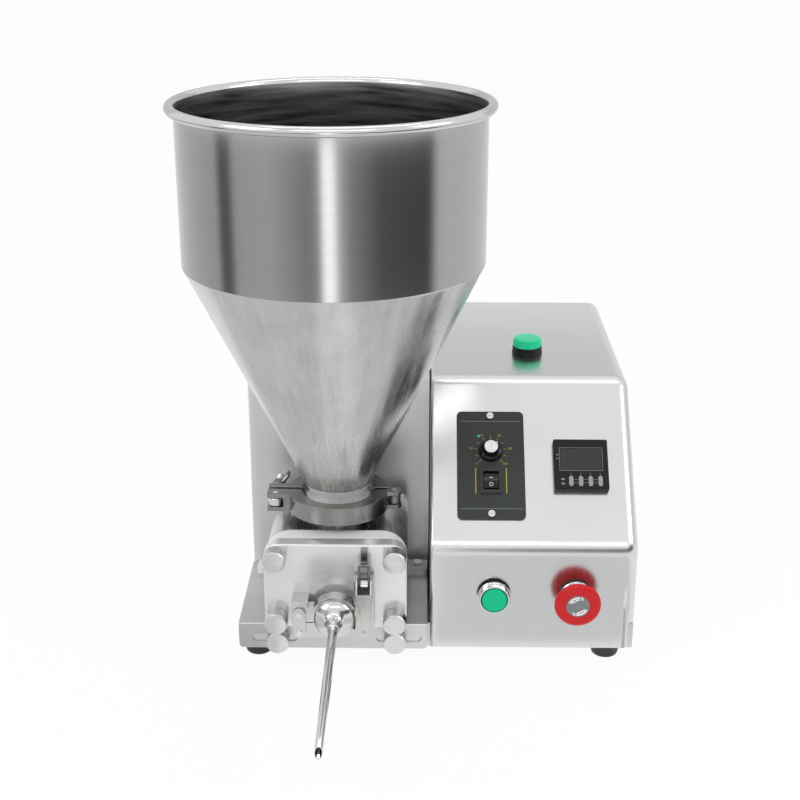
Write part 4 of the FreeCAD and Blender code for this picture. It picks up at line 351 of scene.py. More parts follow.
def settle(name, mesh, finish, body="machine", stands_for=(), angle=30, edge=0.0):
    """Hangs a finished mesh on its body, smooth except at edges sharper than angle; edge rounds them."""
    mesh.shade_smooth()
    mesh.set_sharp_from_angle(angle=math.radians(angle))
    if not mesh.materials:
        mesh.materials.append(finish)
    piece = link(bpy.data.objects.new(name, mesh))
    if edge:
        rounding = piece.modifiers.new("edge", "BEVEL")
        rounding.width = edge * 0.001
        rounding.segments = 2
        rounding.limit_method = "ANGLE"
        rounding.angle_limit = math.radians(32)
        rounding.harden_normals = True
    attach(piece, body)
    if stands_for:
        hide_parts(*stands_for)
    return piece


def draw(name, bm, finish, **how):
    """Turns a bmesh in machine millimetres into a piece."""
    bmesh.ops.remove_doubles(bm, verts=bm.verts, dist=0.0005)
    bmesh.ops.recalc_face_normals(bm, faces=bm.faces)
    bmesh.ops.transform(bm, matrix=INTO_FRAME, verts=bm.verts)
    return settle(name, mesh_of(name, bm), finish, **how)


def polish(node, finish, body="machine", edge=0.0, angle=30):
    """A smooth copy of a CAD node whose shape is right, with its flat faces kept flat."""
    bm = bmesh.new()
    bm.from_mesh(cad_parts[node].data)
    bmesh.ops.remove_doubles(bm, verts=bm.verts, dist=0.000005)
    bmesh.ops.dissolve_limit(
        bm, angle_limit=math.radians(0.3), verts=bm.verts, edges=bm.edges, use_dissolve_boundaries=False
    )
    name = node + "_finished"
    mesh = mesh_of(name, bm)
    mesh.materials.clear()
    piece = settle(name, mesh, finish, body=body, stands_for=(node,), angle=angle, edge=edge)
    flats = piece.modifiers.new("flats", "WEIGHTED_NORMAL")
    flats.keep_sharp = True


def spun(profile, base=(0, 0, 0), axis=(0, 0, 1), steps=96, angle=math.tau):
    """Spins (radius, height) points round an axis, with a UV map that runs round it."""
    bm = bmesh.new()
    verts = [bm.verts.new((r, 0, h)) for r, h in profile]
    edges = [bm.edges.new(pair) for pair in zip(verts, verts[1:])]
    bmesh.ops.spin(
        bm, geom=verts + edges, cent=(0, 0, 0), axis=(0, 0, 1), angle=angle, steps=steps, use_merge=True
    )
    bmesh.ops.remove_doubles(bm, verts=bm.verts, dist=0.0005)
    wrap = bm.loops.layers.uv.new("round")
    for face in bm.faces:
        middle = face.calc_center_median()
        here = math.atan2(middle.y, middle.x)
        for loop in face.loops:
            x, y, z = loop.vert.co
            turn = math.atan2(y, x) if x * x + y * y > 1e-6 else here
            turn += math.tau * round((here - turn) / math.tau)
            loop[wrap].uv = (turn / math.tau, z * 0.01 + math.hypot(x, y) * 0.01)
    tilt = Vector((0, 0, 1)).rotation_difference(Vector(axis)).to_matrix().to_4x4()
    bmesh.ops.transform(bm, matrix=Matrix.Translation(base) @ tilt, verts=bm.verts)
    return bm


def together(*parts):
    """Several bmeshes as one."""
    whole = parts[0]
    for part in parts[1:]:
        spare = mesh_of("spare", part)
        whole.from_mesh(spare)
        bpy.data.meshes.remove(spare)
    return whole


sheet = grained(
    "satin sheet",
    (0.68, 0.68, 0.685),
    0.34,
    along=(1, 1, 0.03),
    depth=0.006,
    spread=0.03,
    metallic=0.78,
)
polish("base_tray", sheet)

rubber = grained("foot rubber", (0.018, 0.018, 0.019), 0.55, grain=1800, depth=0.25, metallic=0.0)
FOOT_PLACES = ((-153.4, 18.5), (157.6, 18.5), (-153.4, 342), (157.6, 342))
FOOT_PROFILE = (
    (1.7, 7.0),
    (6.0, 7.0),
    (6.0, 0.6),
    (6.6, 0.0),
    (10.7, 0.0),
    (11.6, 0.9),
    (12.3, 4.0),
    (12.0, 4.4),
    (12.5, 4.8),
    (13.9, 11.2),
    (13.9, 12.0),
    (1.7, 12.0),
    (1.7, 7.0),
)
feet = together(*(spun(FOOT_PROFILE, (x, y, 0), steps=48) for x, y in FOOT_PLACES))
draw("feet", feet, rubber, stands_for=("rubber_feet",), angle=40)


# The pump shelf is one bent plate with a slotted front flange, brushed and a little scuffed. It
# drops over the tray and is held by thumb screws, so the pump comes off with it for cleaning.

scuffed = grained(
    "scuffed shelf", (0.62, 0.61, 0.615), 0.34, along=(0.05, 1, 1), grain=600, depth=0.02, spread=0.1
)
polish("pump_shelf", scuffed)


# The drive housing and the control housing are folded boxes of satin stainless sheet with welded
# and dressed corners, screwed to the sides of the tray. A flat cover with louvres closes the back.

console = grained(
    "console sheet",
    (0.7, 0.705, 0.712),
    0.22,
    along=(1, 1, 0.02),
    grain=500,
    depth=0.003,
    spread=0.015,
)
black_plastic = grained(
    "black plastic",
    (0.01, 0.01, 0.011),
    0.42,
    grain=1600,
    depth=0.04,
    metallic=0.0,
    Specular_IOR_Level=0.22,
)
plated = grained("plated steel", (0.74, 0.74, 0.75), 0.22, grain=2200, spread=0.06)
polish("drive_housing", sheet)
polish("control_housing", console)
polish("rear_cover", sheet)
dress(black_plastic, "power_inlet")
polish("machine_fasteners", plated)


# Inside stand a geared motor with its cast gearbox on a bent bracket, the speed control's body and
# the switch blocks. They are painted, cast or moulded, and bolted down.

motor_paint = grained("motor enamel", (0.07, 0.085, 0.1), 0.4, grain=500, depth=0.12, metallic=0.0)
cast = grained("cast aluminium", (0.55, 0.56, 0.57), 0.5, grain=1400, depth=0.35, spread=0.08)
ground = grained("ground steel", (0.46, 0.46, 0.48), 0.25, along=(1, 0.05, 1), grain=1500, depth=0.05)
brass = grained("turned brass", (0.72, 0.5, 0.22), 0.3, along=(1, 0.1, 1), grain=1500, depth=0.05)
white_rubber = grained("white gasket", (0.7, 0.7, 0.68), 0.6, grain=900, depth=0.1, metallic=0.0)
dress(motor_paint, "gear_motor")
dress(cast, "gearbox")
dress(ground, "output_hub", "drive_shaft", "drive_gear", "idler_gear")
dress(brass, "shaft_bushes")
dress(white_rubber, "clamp_gaskets", "pump_seals")
dress(black_plastic, "speed_controller", "switch_blocks")


# The gear pump is a stack of three machined blocks: a polished body with the hopper's ferrule on
# top, a wear plate and a front cover with the nozzle's ferrule. Four long bolts clamp them.

body_steel = grained(
    "pump body", (0.56, 0.575, 0.59), 0.26, along=(1, 0.04, 1), grain=600, depth=0.01, spread=0.06
)
plate_steel = grained(
    "milled plate",
    (0.9, 0.9, 0.91),
    0.42,
    along=(1, 0.1, 1),
    grain=600,
    depth=0.01,
    spread=0.03,
    metallic=0.1,
)
cover_steel = grained(
    "milled cover",
    (0.8, 0.805, 0.82),
    0.22,
    along=(0.15, 1, 1),
    grain=600,
    depth=0.006,
    spread=0.03,
    metallic=0.65,
)
polish("pump_body", body_steel, edge=0.4)
polish("pump_wear_plate", plate_steel, edge=0.5)
polish("pump_front_cover", cover_steel, edge=0.3)
dress(plate_steel, "pump_bracket", "motor_bracket")
polish("pump_studs", plated)


# Thumb nuts on the pump's bolts and thumb screws on the shelf: short turned cylinders of bright
# steel with broken edges and a finely knurled rim, faced on a lathe.


def follow_round(tree):
    """The tangent and the coordinates of the UV map that runs round a spun piece."""
    around = shader(tree, "Tangent")
    around.direction_type = "UV_MAP"
    around.uv_map = "round"
    coords = shader(tree, "UVMap")
    coords.uv_map = "round"
    return around, coords


def turned_finish(name, colour, rough, pitch, anisotropy=0.75, depth=0.25, spread=0.06):
    """Lathe-turned metal: its shine runs across rings that follow the piece's UV map."""
    finish, tree, surface = finish_named(name)
    set_sockets(surface, Metallic=1, Roughness=rough, Anisotropic=anisotropy)
    around, coords = follow_round(tree)
    stretch = shader(tree, "Mapping", Scale=(1.5, pitch, 1))
    rings = shader(tree, "TexNoise", Scale=8, Detail=4)
    tone = tone_ramp(tree, 0.3, toned(colour, 1 - 2 * spread), 0.7, toned(colour, 1 + spread))
    relief = shader(tree, "Bump", Strength=depth, Distance=0.0001)
    wire(
        tree,
        (coords, "UV", stretch, "Vector"),
        (stretch, "Vector", rings, "Vector"),
        (rings, "Fac", tone, "Fac"),
        (tone, "Color", surface, "Base Color"),
        (rings, "Fac", relief, "Height"),
        (relief, "Normal", surface, "Normal"),
        (around, "Tangent", surface, "Tangent"),
    )
    return finish


bright_turned = turned_finish("faced steel", (0.72, 0.72, 0.715), 0.24, 60, anisotropy=0.8, spread=0.1)
THUMB_R = 10
THUMB_TEETH = 60
KNURL_DEPTH = 0.25


def knurl(bm, axis, teeth, dip):
    """Draws in every other column of a rim that was spun with two steps to each tooth."""
    for vert in bm.verts:
        off = Vector((vert.co.x - axis[0], 0, vert.co.z - axis[2]))
        if abs(off.length - THUMB_R) < 0.01:
            column = round(math.atan2(off.z, off.x) / math.tau * teeth * 2)
            if column % 2:
                vert.co -= off.normalized() * dip


def thumb_profile(length, shank):
    """Half section of a thumb nut or screw head, from its back to its face."""
    return (
        *shank,
        (8.9, 0),
        (9.4, 0.15),
        (THUMB_R, 0.8),
        (THUMB_R, length - 0.8),
        (9.4, length - 0.15),
        (8.9, length),
        (0.6, length),
        (0.3, length - 0.25),
        (0, length - 0.3),
    )


def thumb_piece(name, body, place, length, shank):
    """A knurled thumb nut or screw that rides on a body of its own and stands for its CAD node."""
    piece = spun(thumb_profile(length, shank), place, FORWARD, steps=2 * THUMB_TEETH)
    knurl(piece, place, THUMB_TEETH, KNURL_DEPTH)
    draw(name, piece, bright_turned, body=body, stands_for=(body,), angle=24)


NUT_LENGTH = 13.7
NUT_BACK = -8.3
NUT_SHANK = ((0, 11), (4.05, 11), (4.05, 0))
NUT_PLACES = ((-133.7, 47.4), (-133.7, 107.4), (-30.7, 47.4), (-30.7, 107.4))
for number, (x, z) in enumerate(NUT_PLACES, 1):
    thumb_piece(f"thumb_nut_{number}", f"cover_nut_{number}", (x, NUT_BACK, z), NUT_LENGTH, NUT_SHANK)

SCREW_LENGTH = 10.5
SCREW_BACK = -0.3
SCREW_Z = 22
SCREW_SHANK = ((0, -16), (2.4, -16), (3, -15.4), (3, 0))
for side, x in (("left", -133.8), ("right", -30.6)):
    place = (x, SCREW_BACK, SCREW_Z)
    thumb_piece(f"thumb_screw_{side}", f"shelf_knob_{side}", place, SCREW_LENGTH, SCREW_SHANK)


# The hopper is a drum rolled from thin sheet with its rim curled outwards, welded to a spun cone
# that ends in a ferrule. The drum is polished outside, dull within; the cone is brushed downwards.

drum_finish = turned_finish(
    "polished drum", (0.5, 0.5, 0.5), 0.14, 3, anisotropy=0.55, depth=0.008, spread=0.015
)
rim_finish = turned_finish(
    "polished rim", (0.62, 0.62, 0.62), 0.16, 6, anisotropy=0.2, depth=0.01, spread=0.02
)
inside_finish = turned_finish(
    "dull inside", (0.32, 0.315, 0.315), 0.34, 2.5, anisotropy=0.5, depth=0.3, spread=0.38
)
RIM_Z = 481.9
DRUM_R = 127.2
WALL = 1.2
BEAD_R = 4.2
DRUM_RINGS = (353.4, 410, 470)


def curl(start_deg, end_deg, count=14):
    """Points of the rolled rim, round the middle of its tube."""
    centre = DRUM_R - WALL + BEAD_R
    turns = [math.radians(start_deg + (end_deg - start_deg) * i / count) for i in range(count + 1)]
    return [(centre + BEAD_R * math.cos(t), RIM_Z + BEAD_R * math.sin(t)) for t in turns]


def from_hopper_axis(point):
    return math.hypot(point.x - HOPPER_X, point.y - HOPPER_Y)


outside = [(DRUM_R, z) for z in (*DRUM_RINGS, RIM_Z - 3.0)]
inside = [(DRUM_R - WALL, z) for z in (RIM_Z, *reversed(DRUM_RINGS))]
drum = spun(outside + curl(-136, 180)[1:] + inside + outside[:1], HOPPER_BASE, steps=192)
for face in drum.faces:
    middle = face.calc_center_median()
    radius = from_hopper_axis(middle)
    if middle.z > RIM_Z - 4.3 and radius > DRUM_R - WALL + 0.1:
        face.material_index = 1
    elif radius < DRUM_R - WALL / 2:
        face.material_index = 2
drum_piece = draw("hopper_drum_polished", drum, drum_finish, stands_for=("hopper_drum",), angle=50)
drum_piece.data.materials.append(rim_finish)
drum_piece.data.materials.append(inside_finish)


def streaked(name, colour, rough):
    """Sheet brushed from rim to neck: light and dark streaks that run down the cone."""
    finish, tree, surface = finish_named(name)
    set_sockets(surface, Metallic=1, Anisotropic=0.45, Anisotropic_Rotation=0.25)
    around, coords = follow_round(tree)
    stretch = shader(tree, "Mapping", Scale=(14, 0.35, 1))
    lines = shader(tree, "TexNoise", Scale=6, Detail=7, Roughness=0.65)
    place = shader(tree, "TexCoord")
    cloud = shader(tree, "TexNoise", Scale=26, Detail=5)
    both = shader(tree, "Mix", Factor=0.35)
    both.data_type = "FLOAT"
    tone = tone_ramp(tree, 0.32, toned(colour, 0.82), 0.66, toned(colour, 1.08))
    wander = shader(
        tree, "MapRange", From_Min=0.3, From_Max=0.7, To_Min=rough * 0.75, To_Max=rough * 1.25
    )
    relief = shader(tree, "Bump", Strength=0.12, Distance=0.0004)
    wire(
        tree,
        (coords, "UV", stretch, "Vector"),
        (stretch, "Vector", lines, "Vector"),
        (place, "Object", cloud, "Vector"),
        (lines, "Fac", both, "A"),
        (cloud, "Fac", both, "B"),
        (both, "Result", tone, "Fac"),
        (tone, "Color", surface, "Base Color"),
        (lines, "Fac", wander, "Value"),
        (wander, "Result", surface, "Roughness"),
        (both, "Result", relief, "Height"),
        (relief, "Normal", surface, "Normal"),
        (around, "Tangent", surface, "Tangent"),
    )
    return finish


cone_finish = streaked("brushed cone", (0.615, 0.615, 0.61), 0.26)
# Painted highlight: the neck and ferrule are a lighter, less metallic copy of the cone's steel, so that they
# read as lit.
neck_painted_highlight = grained(
    "neck painted highlight", (0.85, 0.85, 0.84), 0.3, grain=300, depth=0.02, spread=0.15, metallic=0.35
)
cone_inside = turned_finish(
    "dull funnel", (0.3, 0.3, 0.3), 0.35, 4, anisotropy=0.3, depth=0.1, spread=0.2
)
CONE_TOP = 353.3
CONE_MIDDLE_R, CONE_MIDDLE_Z = 76.5, 248.3
NECK_R, NECK_Z = 25.9, 143.3
# How much the cone's radius grows for each millimetre that it rises.
CONE_FLARE = 0.4814
FERRULE_BORE, FERRULE_FOOT = 23.5, 134.95
# Below this height, the outside of the neck and ferrule takes the painted highlight.
PAINTED_HIGHLIGHT_BELOW = 150.5
CONE_OUTSIDE = [
    (NECK_R, NECK_Z),
    (27.6, 146.6),
    (29.8, 151.2),
    (CONE_MIDDLE_R, CONE_MIDDLE_Z),
    (DRUM_R - 1.6, 350.2),
    (DRUM_R - 0.4, 352.2),
    (DRUM_R, CONE_TOP),
]
CONE_INSIDE = [
    (DRUM_R - WALL, CONE_TOP),
    (CONE_MIDDLE_R - 1.3, CONE_MIDDLE_Z),
    (24.9, 144.0),
    (FERRULE_BORE, 141.0),
    (FERRULE_BORE, FERRULE_FOOT),
]
FERRULE = [
    (31.6, FERRULE_FOOT),
    (32, 135.3),
    (32, 136.6),
    (31.2, 136.9),
    (27.2, 137.3),
    (26.3, 137.7),
    (NECK_R, 138.6),
]
cone = spun(CONE_INSIDE + FERRULE + CONE_OUTSIDE + CONE_INSIDE[:1], HOPPER_BASE, steps=192)
for face in cone.faces:
    middle = face.calc_center_median()
    radius = from_hopper_axis(middle)
    if middle.z > 140 and radius < NECK_R + (middle.z - NECK_Z) * CONE_FLARE - WALL / 2:
        face.material_index = 1
    elif middle.z < PAINTED_HIGHLIGHT_BELOW and radius > FERRULE_BORE + 1:
        face.material_index = 2
cone_piece = draw("hopper_cone_brushed", cone, cone_finish, stands_for=("hopper_cone",), angle=50)
cone_piece.data.materials.append(cone_inside)
cone_piece.data.materials.append(neck_painted_highlight)

# The seam of the rolled cone is a dressed weld down its front.
weld = bmesh.new()
low = Vector((-84.0, HOPPER_Y - 27.8, 147.0))
high = Vector((-88.0, HOPPER_Y - 125.4, 351.0))
run = high - low
bmesh.ops.create_cone(
    weld,
    segments=12,
    radius1=0.32,
    radius2=0.42,
    depth=run.length,
    cap_ends=True,
    matrix=Matrix.Translation((low + high) / 2) @ run.to_track_quat("Z", "Y").to_matrix().to_4x4(),
)
draw("cone_seam_weld", weld, sheet, angle=60)


# The hopper clamp: two cast half rings with a hinge pin at the right and a swing bolt with a wing nut
# at the left. Their colour is darkened as painted shade, for the dark reflections round the clamp.

# Painted shade: this cast colour is darkened to stand in for dark reflections and shadow gaps; the wing nut
# and latch share it.
cast_painted_dark = grained("cast with painted shade", (0.31, 0.305, 0.295), 0.22, grain=420, spread=0.1)
polish("hopper_clamp_front", cast_painted_dark, edge=0.6)
polish("hopper_clamp_rear", cast_painted_dark, edge=0.6)
polish("clamp_pins", plated, edge=0.2)

BOLT_X, BOLT_Y, CLAMP_Z = -137.5, 47.0, 134.3
BOLT_PIN = (BOLT_X, BOLT_Y, CLAMP_Z)
THREAD_R, THREAD_CORE, THREAD_PITCH, THREAD_TURNS = 3.95, 3.4, 1.3, 20
thread = [(0, 0), (THREAD_CORE, 0), (THREAD_CORE, 24)]
for i in range(THREAD_TURNS):
    thread += [(THREAD_R, 24.3 + i * THREAD_PITCH), (THREAD_CORE, 24.95 + i * THREAD_PITCH)]
thread += [(THREAD_CORE, 50.4), (2.8, 51), (0, 51)]
bolt = spun(thread, BOLT_PIN, REARWARD, steps=40)
EYE = ((2.55, -3.6), (5.4, -3.6), (6, -3.0), (6, 3.0), (5.4, 3.6), (2.55, 3.6), (2.55, -3.6))
eye = spun(EYE, BOLT_PIN, steps=48)
for vert in [v for v in bolt.verts if (v.co.y - BOLT_Y) < 3]:
    vert.co.y = BOLT_Y + 4.4
draw(
    "swing_bolt_turned",
    together(bolt, eye),
    plated,
    body="swing_bolt",
    stands_for=("clamp_swing_bolt",),
    angle=35,
)


def round_off(bm, edges, offset, segments):
    bmesh.ops.bevel(
        bm,
        geom=edges,
        offset=offset,
        offset_type="OFFSET",
        segments=segments,
        profile=0.5,
        affect="EDGES",
        material=-1,
    )


NUT_FRONT = 67.5
WING_SIZE = (9.2, 11.5, 3.6)
WING_OUT = 9.8
WING_TURN = -50
hub = spun(
    [(4.05, 0), (4.5, 0), (4.9, 0.4), (6.3, 2.8), (6.5, 3.4), (6.5, 13.2), (5.9, 14), (4.05, 14), (4.05, 0)],
    (BOLT_X, NUT_FRONT, CLAMP_Z),
    REARWARD,
    steps=48,
)
for side in (-1, 1):
    wing = bmesh.new()
    bmesh.ops.create_cube(wing, size=1, matrix=Matrix.Diagonal((*WING_SIZE, 1)))
    for vert in wing.verts:
        outer = vert.co.x * side > 0
        vert.co.y += 4.0 if outer else 0
        vert.co.y *= 1.0 if outer else 0.8
    round_off(wing, wing.edges[:], 1.7, 4)
    moved(wing, (BOLT_X + side * WING_OUT, NUT_FRONT + 11.2, CLAMP_Z))
    turned(wing, WING_TURN, "Y", (BOLT_X, 0, CLAMP_Z))
    together(hub, wing)
draw("wing_nut_cast", hub, cast_painted_dark, body="wing_nut", stands_for=("clamp_wing_nut",), angle=40)


# The nozzle: a turned dome with a flange that clamps to the cover, drawn out to a socket into
# which a long thin tube is welded. The tube tapers slightly and is cut on the slant at its tip.

nozzle_finish = turned_finish(
    "polished nozzle", (0.66, 0.66, 0.65), 0.15, 14, anisotropy=0.35, depth=0.05
)
NOZZLE_AXIS = (HOPPER_X, 0, 56.6)
DOME = [
    (8, 21.5),
    (16.6, 21.5),
    (17, 21.9),
    (17, 24.0),
    (16.6, 24.4),
    (14.2, 24.6),
    (14, 25.0),
    (14, 26.4),
    (14.3, 26.6),
    (17.1, 26.6),
    (17.5, 27.0),
    (17.5, 28.2),
    (17.1, 28.9),
    (16.2, 30.0),
    (14.4, 31.8),
    (12.2, 33.2),
    (9.9, 34.4),
    (8.2, 35.8),
    (7.0, 38.0),
    (6.1, 41.2),
    (5.5, 44.6),
    (5.2, 46.0),
    (4.7, 46.5),
    (4.02, 46.6),
    (4.0, 52),
    (6.2, 34),
    (8, 28.8),
    (8, 21.5),
]
TUBE_TIP = 225
TUBE = [(3.3, 52), (3.95, 52), (4.0, 46), (3.2, TUBE_TIP), (2.5, TUBE_TIP), (3.3, 46), (3.3, 52)]
dome = spun(DOME, NOZZLE_AXIS, FORWARD)
tube = spun(TUBE, NOZZLE_AXIS, FORWARD, steps=48)
bmesh.ops.bisect_plane(
    tube,
    geom=tube.verts[:] + tube.edges[:] + tube.faces[:],
    plane_co=(HOPPER_X, -TUBE_TIP, 53.4),
    plane_no=(0, -6.4, 8.0),
    clear_outer=True,
)
bmesh.ops.bridge_loops(tube, edges=[e for e in tube.edges if e.is_boundary])
draw("nozzle_polished", together(dome, tube), nozzle_finish, stands_for=("nozzle",), angle=45)


# The nozzle clamp: an upper half ring screwed to the cover, a lower half that swings on a link
# plate with two riveted pins, both milled and polished.

bright_milled = grained(
    "polished clamp", (0.6, 0.6, 0.6), 0.2, along=(1, 0.2, 1), grain=1300, depth=0.05, spread=0.06
)
pressed = grained(
    "pressed steel", (0.66, 0.65, 0.63), 0.3, along=(0.1, 1, 1), grain=1300, depth=0.05, spread=0.06
)
polish("nozzle_clamp_upper", bright_milled, edge=0.4)
polish("nozzle_clamp_lower", bright_milled, edge=0.3)
polish("nozzle_clamp_link", pressed, edge=0.4)


# The toggle latch that closes the nozzle clamp: a folded channel lever, a bent wire bail that hangs
# in it, and a hook screwed to the cover.

polish("latch_lever", pressed, body="latch_lever", edge=0.25)
polish("latch_hook", cast_painted_dark, edge=0.4)
polish("latch_bail", cast_painted_dark, body="latch_bail", angle=60)


# The start button: a chromed bezel on a black gasket, and a flat green cap that sinks in it.

chrome = turned_finish(
    "chromed bezel", (0.82, 0.82, 0.83), 0.09, 8, anisotropy=0.1, depth=0.02, spread=0.02
)
GREEN = (0.0, 0.56, 0.26)
green = grained(
    "green plastic", GREEN, 0.4, grain=900, depth=0.02, spread=0.04, metallic=0.0, Specular_IOR_Level=0.2
)
FRONT_Y, BUTTON_Z = 3.7, 64.5
START = (56.1, FRONT_Y, BUTTON_Z)
BEZEL = (
    (6.05, -16),
    (10.6, -16),
    (11, -15.6),
    (11, 0),
    (13.4, 0),
    (13.4, 2.2),
    (14.4, 2.4),
    (14.7, 2.9),
    (14.7, 4.2),
    (14.4, 4.5),
    (14.7, 4.8),
    (14.7, 6.2),
    (14.2, 7.2),
    (13.6, 9.4),
    (13.1, 10),
    (12, 10),
    (11.5, 9.4),
    (11.5, 2.8),
    (6.05, 2.8),
    (6.05, -16),
)
bezel = spun(BEZEL, START, FORWARD)
for face in bezel.faces:
    middle = face.calc_center_median()
    off = math.hypot(middle.x - START[0], middle.z - START[2])
    gasket = 11.2 < off and middle.y > FRONT_Y - 4.3
    well = off < 11.6 and middle.y < FRONT_Y
    if gasket or well:
        face.material_index = 1
bezel_piece = draw("start_bezel_chromed", bezel, chrome, stands_for=("start_bezel",), angle=28)
bezel_piece.data.materials.append(black_plastic)
CAP = (
    (0, -17),
    (6, -17),
    (6, 6.9),
    (10.4, 6.9),
    (10.8, 7.2),
    (10.8, 10.4),
    (10.3, 11.0),
    (9.4, 11.2),
    (6, 11.1),
    (0, 11.0),
)
cap = spun(CAP, START, FORWARD)
draw("start_cap", cap, green, body="start_button", stands_for=("start_button",), angle=35)


# The emergency stop: a black collar with a bright ring, a black stem, and a large red mushroom head
# with a grey disc in its face that shows which way to twist it.

ESTOP = (127.8, FRONT_Y, BUTTON_Z)
COLLAR = (
    (8.05, -16),
    (10.6, -16),
    (11, -15.6),
    (11, 0),
    (14.7, 0),
    (14.7, 2.6),
    (14.6, 3.2),
    (12.9, 5.6),
    (12.6, 6),
    (8.05, 6),
    (8.05, -16),
)
collar = spun(COLLAR, ESTOP, FORWARD)
for face in collar.faces:
    if FRONT_Y - 6.1 < face.calc_center_median().y < FRONT_Y - 2.8:
        face.material_index = 1
collar_piece = draw("estop_collar_ring", collar, black_plastic, stands_for=("estop_collar",), angle=28)
collar_piece.data.materials.append(chrome)
stem = spun([(0, -17), (8, -17), (8, 11), (5, 11), (5, 15.5), (0, 15.5)], ESTOP, FORWARD, steps=64)
draw("estop_stem_moulded", stem, black_plastic, body="estop_stem", stands_for=("estop_stem",))
red = grained(
    "red plastic",
    (0.6, 0.008, 0.012),
    0.32,
    grain=900,
    depth=0.02,
    spread=0.04,
    metallic=0.0,
    Specular_IOR_Level=0.3,
)
HEAD = [
    (0, 16.3),
    (5.05, 16.3),
    (5.05, 11.3),
    (10, 11.3),
    (13.5, 12.5),
    (18.3, 14.6),
    (19.6, 15.3),
    (20.2, 16.0),
    (20.2, 16.5),
    (19.8, 18.0),
    (18.6, 19.2),
    (16.9, 20.0),
    (10.4, 20.0),
    (10.2, 19.6),
    (0, 19.6),
]
head = spun(HEAD, ESTOP, FORWARD)
draw("estop_mushroom", head, red, body="estop_head", stands_for=("estop_head",), angle=30)

grey_disc = grained("grey inlay", (0.2, 0.21, 0.22), 0.4, grain=1500, depth=0.05, metallic=0.0)
disc = spun([(0, 19.6), (10.15, 19.6), (10.15, 19.85), (0, 19.85)], ESTOP, FORWARD, steps=64)
draw("estop_disc", disc, grey_disc, body="estop_head", angle=30)
white_ink = grained("white ink", (0.82, 0.82, 0.82), 0.5, grain=1500, depth=0.02, metallic=0.0)
ARROW_BAND = ((7.2, 19.8), (9.0, 19.8), (9.0, 19.98), (7.2, 19.98), (7.2, 19.8))
ARROW_SWEEP = 96
ARROW_TIP_R = 7.9
arrows = bmesh.new()
for begin in (72, 252):
    arc = spun(ARROW_BAND, steps=24, angle=math.radians(ARROW_SWEEP))
    bmesh.ops.holes_fill(arc, edges=[e for e in arc.edges if e.is_boundary])
    turned(arc, begin, "Z")
    tip = bmesh.new()
    bmesh.ops.create_cone(tip, segments=3, radius1=2.1, radius2=2.1, depth=0.18, cap_ends=True)
    turned(tip, begin - 90, "Z")
    angle = math.radians(begin - 5)
    moved(tip, (ARROW_TIP_R * math.cos(angle), ARROW_TIP_R * math.sin(angle), 19.89))
    together(arrows, arc, tip)
lay = Matrix.Translation(ESTOP) @ Matrix.Rotation(math.radians(90), 4, "X")
bmesh.ops.transform(arrows, matrix=lay, verts=arrows.verts)
draw("estop_arrows", arrows, white_ink, body="estop_head")


# The pilot light on the top: a black moulded base and a ribbed green lens with a flat crown. The
# lens has a faint emission, a painted glow that stands in for room light shining through it.

RIB_DEPTH = 0.35
PILOT = (93.2, 194.7, 224)
LENS_RIBS = 120
PILOT_BASE = (
    (10.6, -16),
    (11, -15.6),
    (11, 0),
    (14.5, 0),
    (14.5, 1.6),
    (14.1, 2.0),
    (14.1, 6.4),
    (13.6, 7),
    (10.6, 7),
    (10.6, -16),
)
PILOT_LENS = (
    (0, 5),
    (10.6, 5),
    (10.6, 7),
    (13.2, 7),
    (13.6, 7.4),
    (13.6, 12.9),
    (13.1, 14.4),
    (12, 15.3),
    (10.6, 15.6),
    (7.5, 15.55),
    (0, 15.2),
)
base = spun(PILOT_BASE, PILOT)
draw("pilot_base_moulded", base, black_plastic, stands_for=("pilot_base",), angle=28)
# Painted glow: the lens emits a little green light, which stands in for room light shining through it.
lens_painted_glow = grained(
    "green lens",
    GREEN,
    0.14,
    grain=300,
    depth=0.01,
    spread=0.08,
    metallic=0.0,
    Emission_Color=(0.0, 0.6, 0.28, 1),
    Emission_Strength=0.22,
)
lens = spun(PILOT_LENS, PILOT, steps=LENS_RIBS)
for vert in lens.verts:
    off = Vector((vert.co.x - PILOT[0], vert.co.y - PILOT[1], 0))
    if 13.5 < off.length and round(math.atan2(off.y, off.x) / math.tau * LENS_RIBS) % 2:
        vert.co -= off.normalized() * RIB_DEPTH
draw("pilot_lens_moulded", lens, lens_painted_glow, stands_for=("pilot_lens",), angle=28)


# The speed control: a dark sheet face plate with printed marks, held by two screws, a black skirted
# knob with a turned cap, and a rocker switch in a moulded frame.

SLOPE_DEG = 43.8
KNEE = Vector((0, FRONT_Y, 109.3))
ONTO_SLOPE = Matrix.Translation(KNEE) @ Matrix.Rotation(math.radians(SLOPE_DEG), 4, "X")
INK_DEPTH = 0.06


def block(x, s, width, height, low, high, radius=0.0, edge=0.0):
    """Plate on the slope, centred at (x, s), with rounded corners and a broken upper edge."""
    bm = bmesh.new()
    size = Matrix.Diagonal((width, height, high - low, 1))
    bmesh.ops.create_cube(bm, size=1, matrix=Matrix.Translation((x, s, (low + high) / 2)) @ size)
    if radius:
        upright = [e for e in bm.edges if abs(e.verts[0].co.z - e.verts[1].co.z) > 1e-4]
        round_off(bm, upright, radius, 8)
    if edge:
        rim = [e for e in bm.edges if all(abs(v.co.z - high) < 1e-4 for v in e.verts)]
        round_off(bm, rim, edge, 3)
    return bm


def printed(x, s, width, height, face, radius=0.0):
    """A printed mark, one layer of ink thick."""
    return block(x, s, width, height, face, face + INK_DEPTH, radius=radius)


def lay_on_slope(bm):
    bmesh.ops.transform(bm, matrix=ONTO_SLOPE, verts=bm.verts)
    return bm


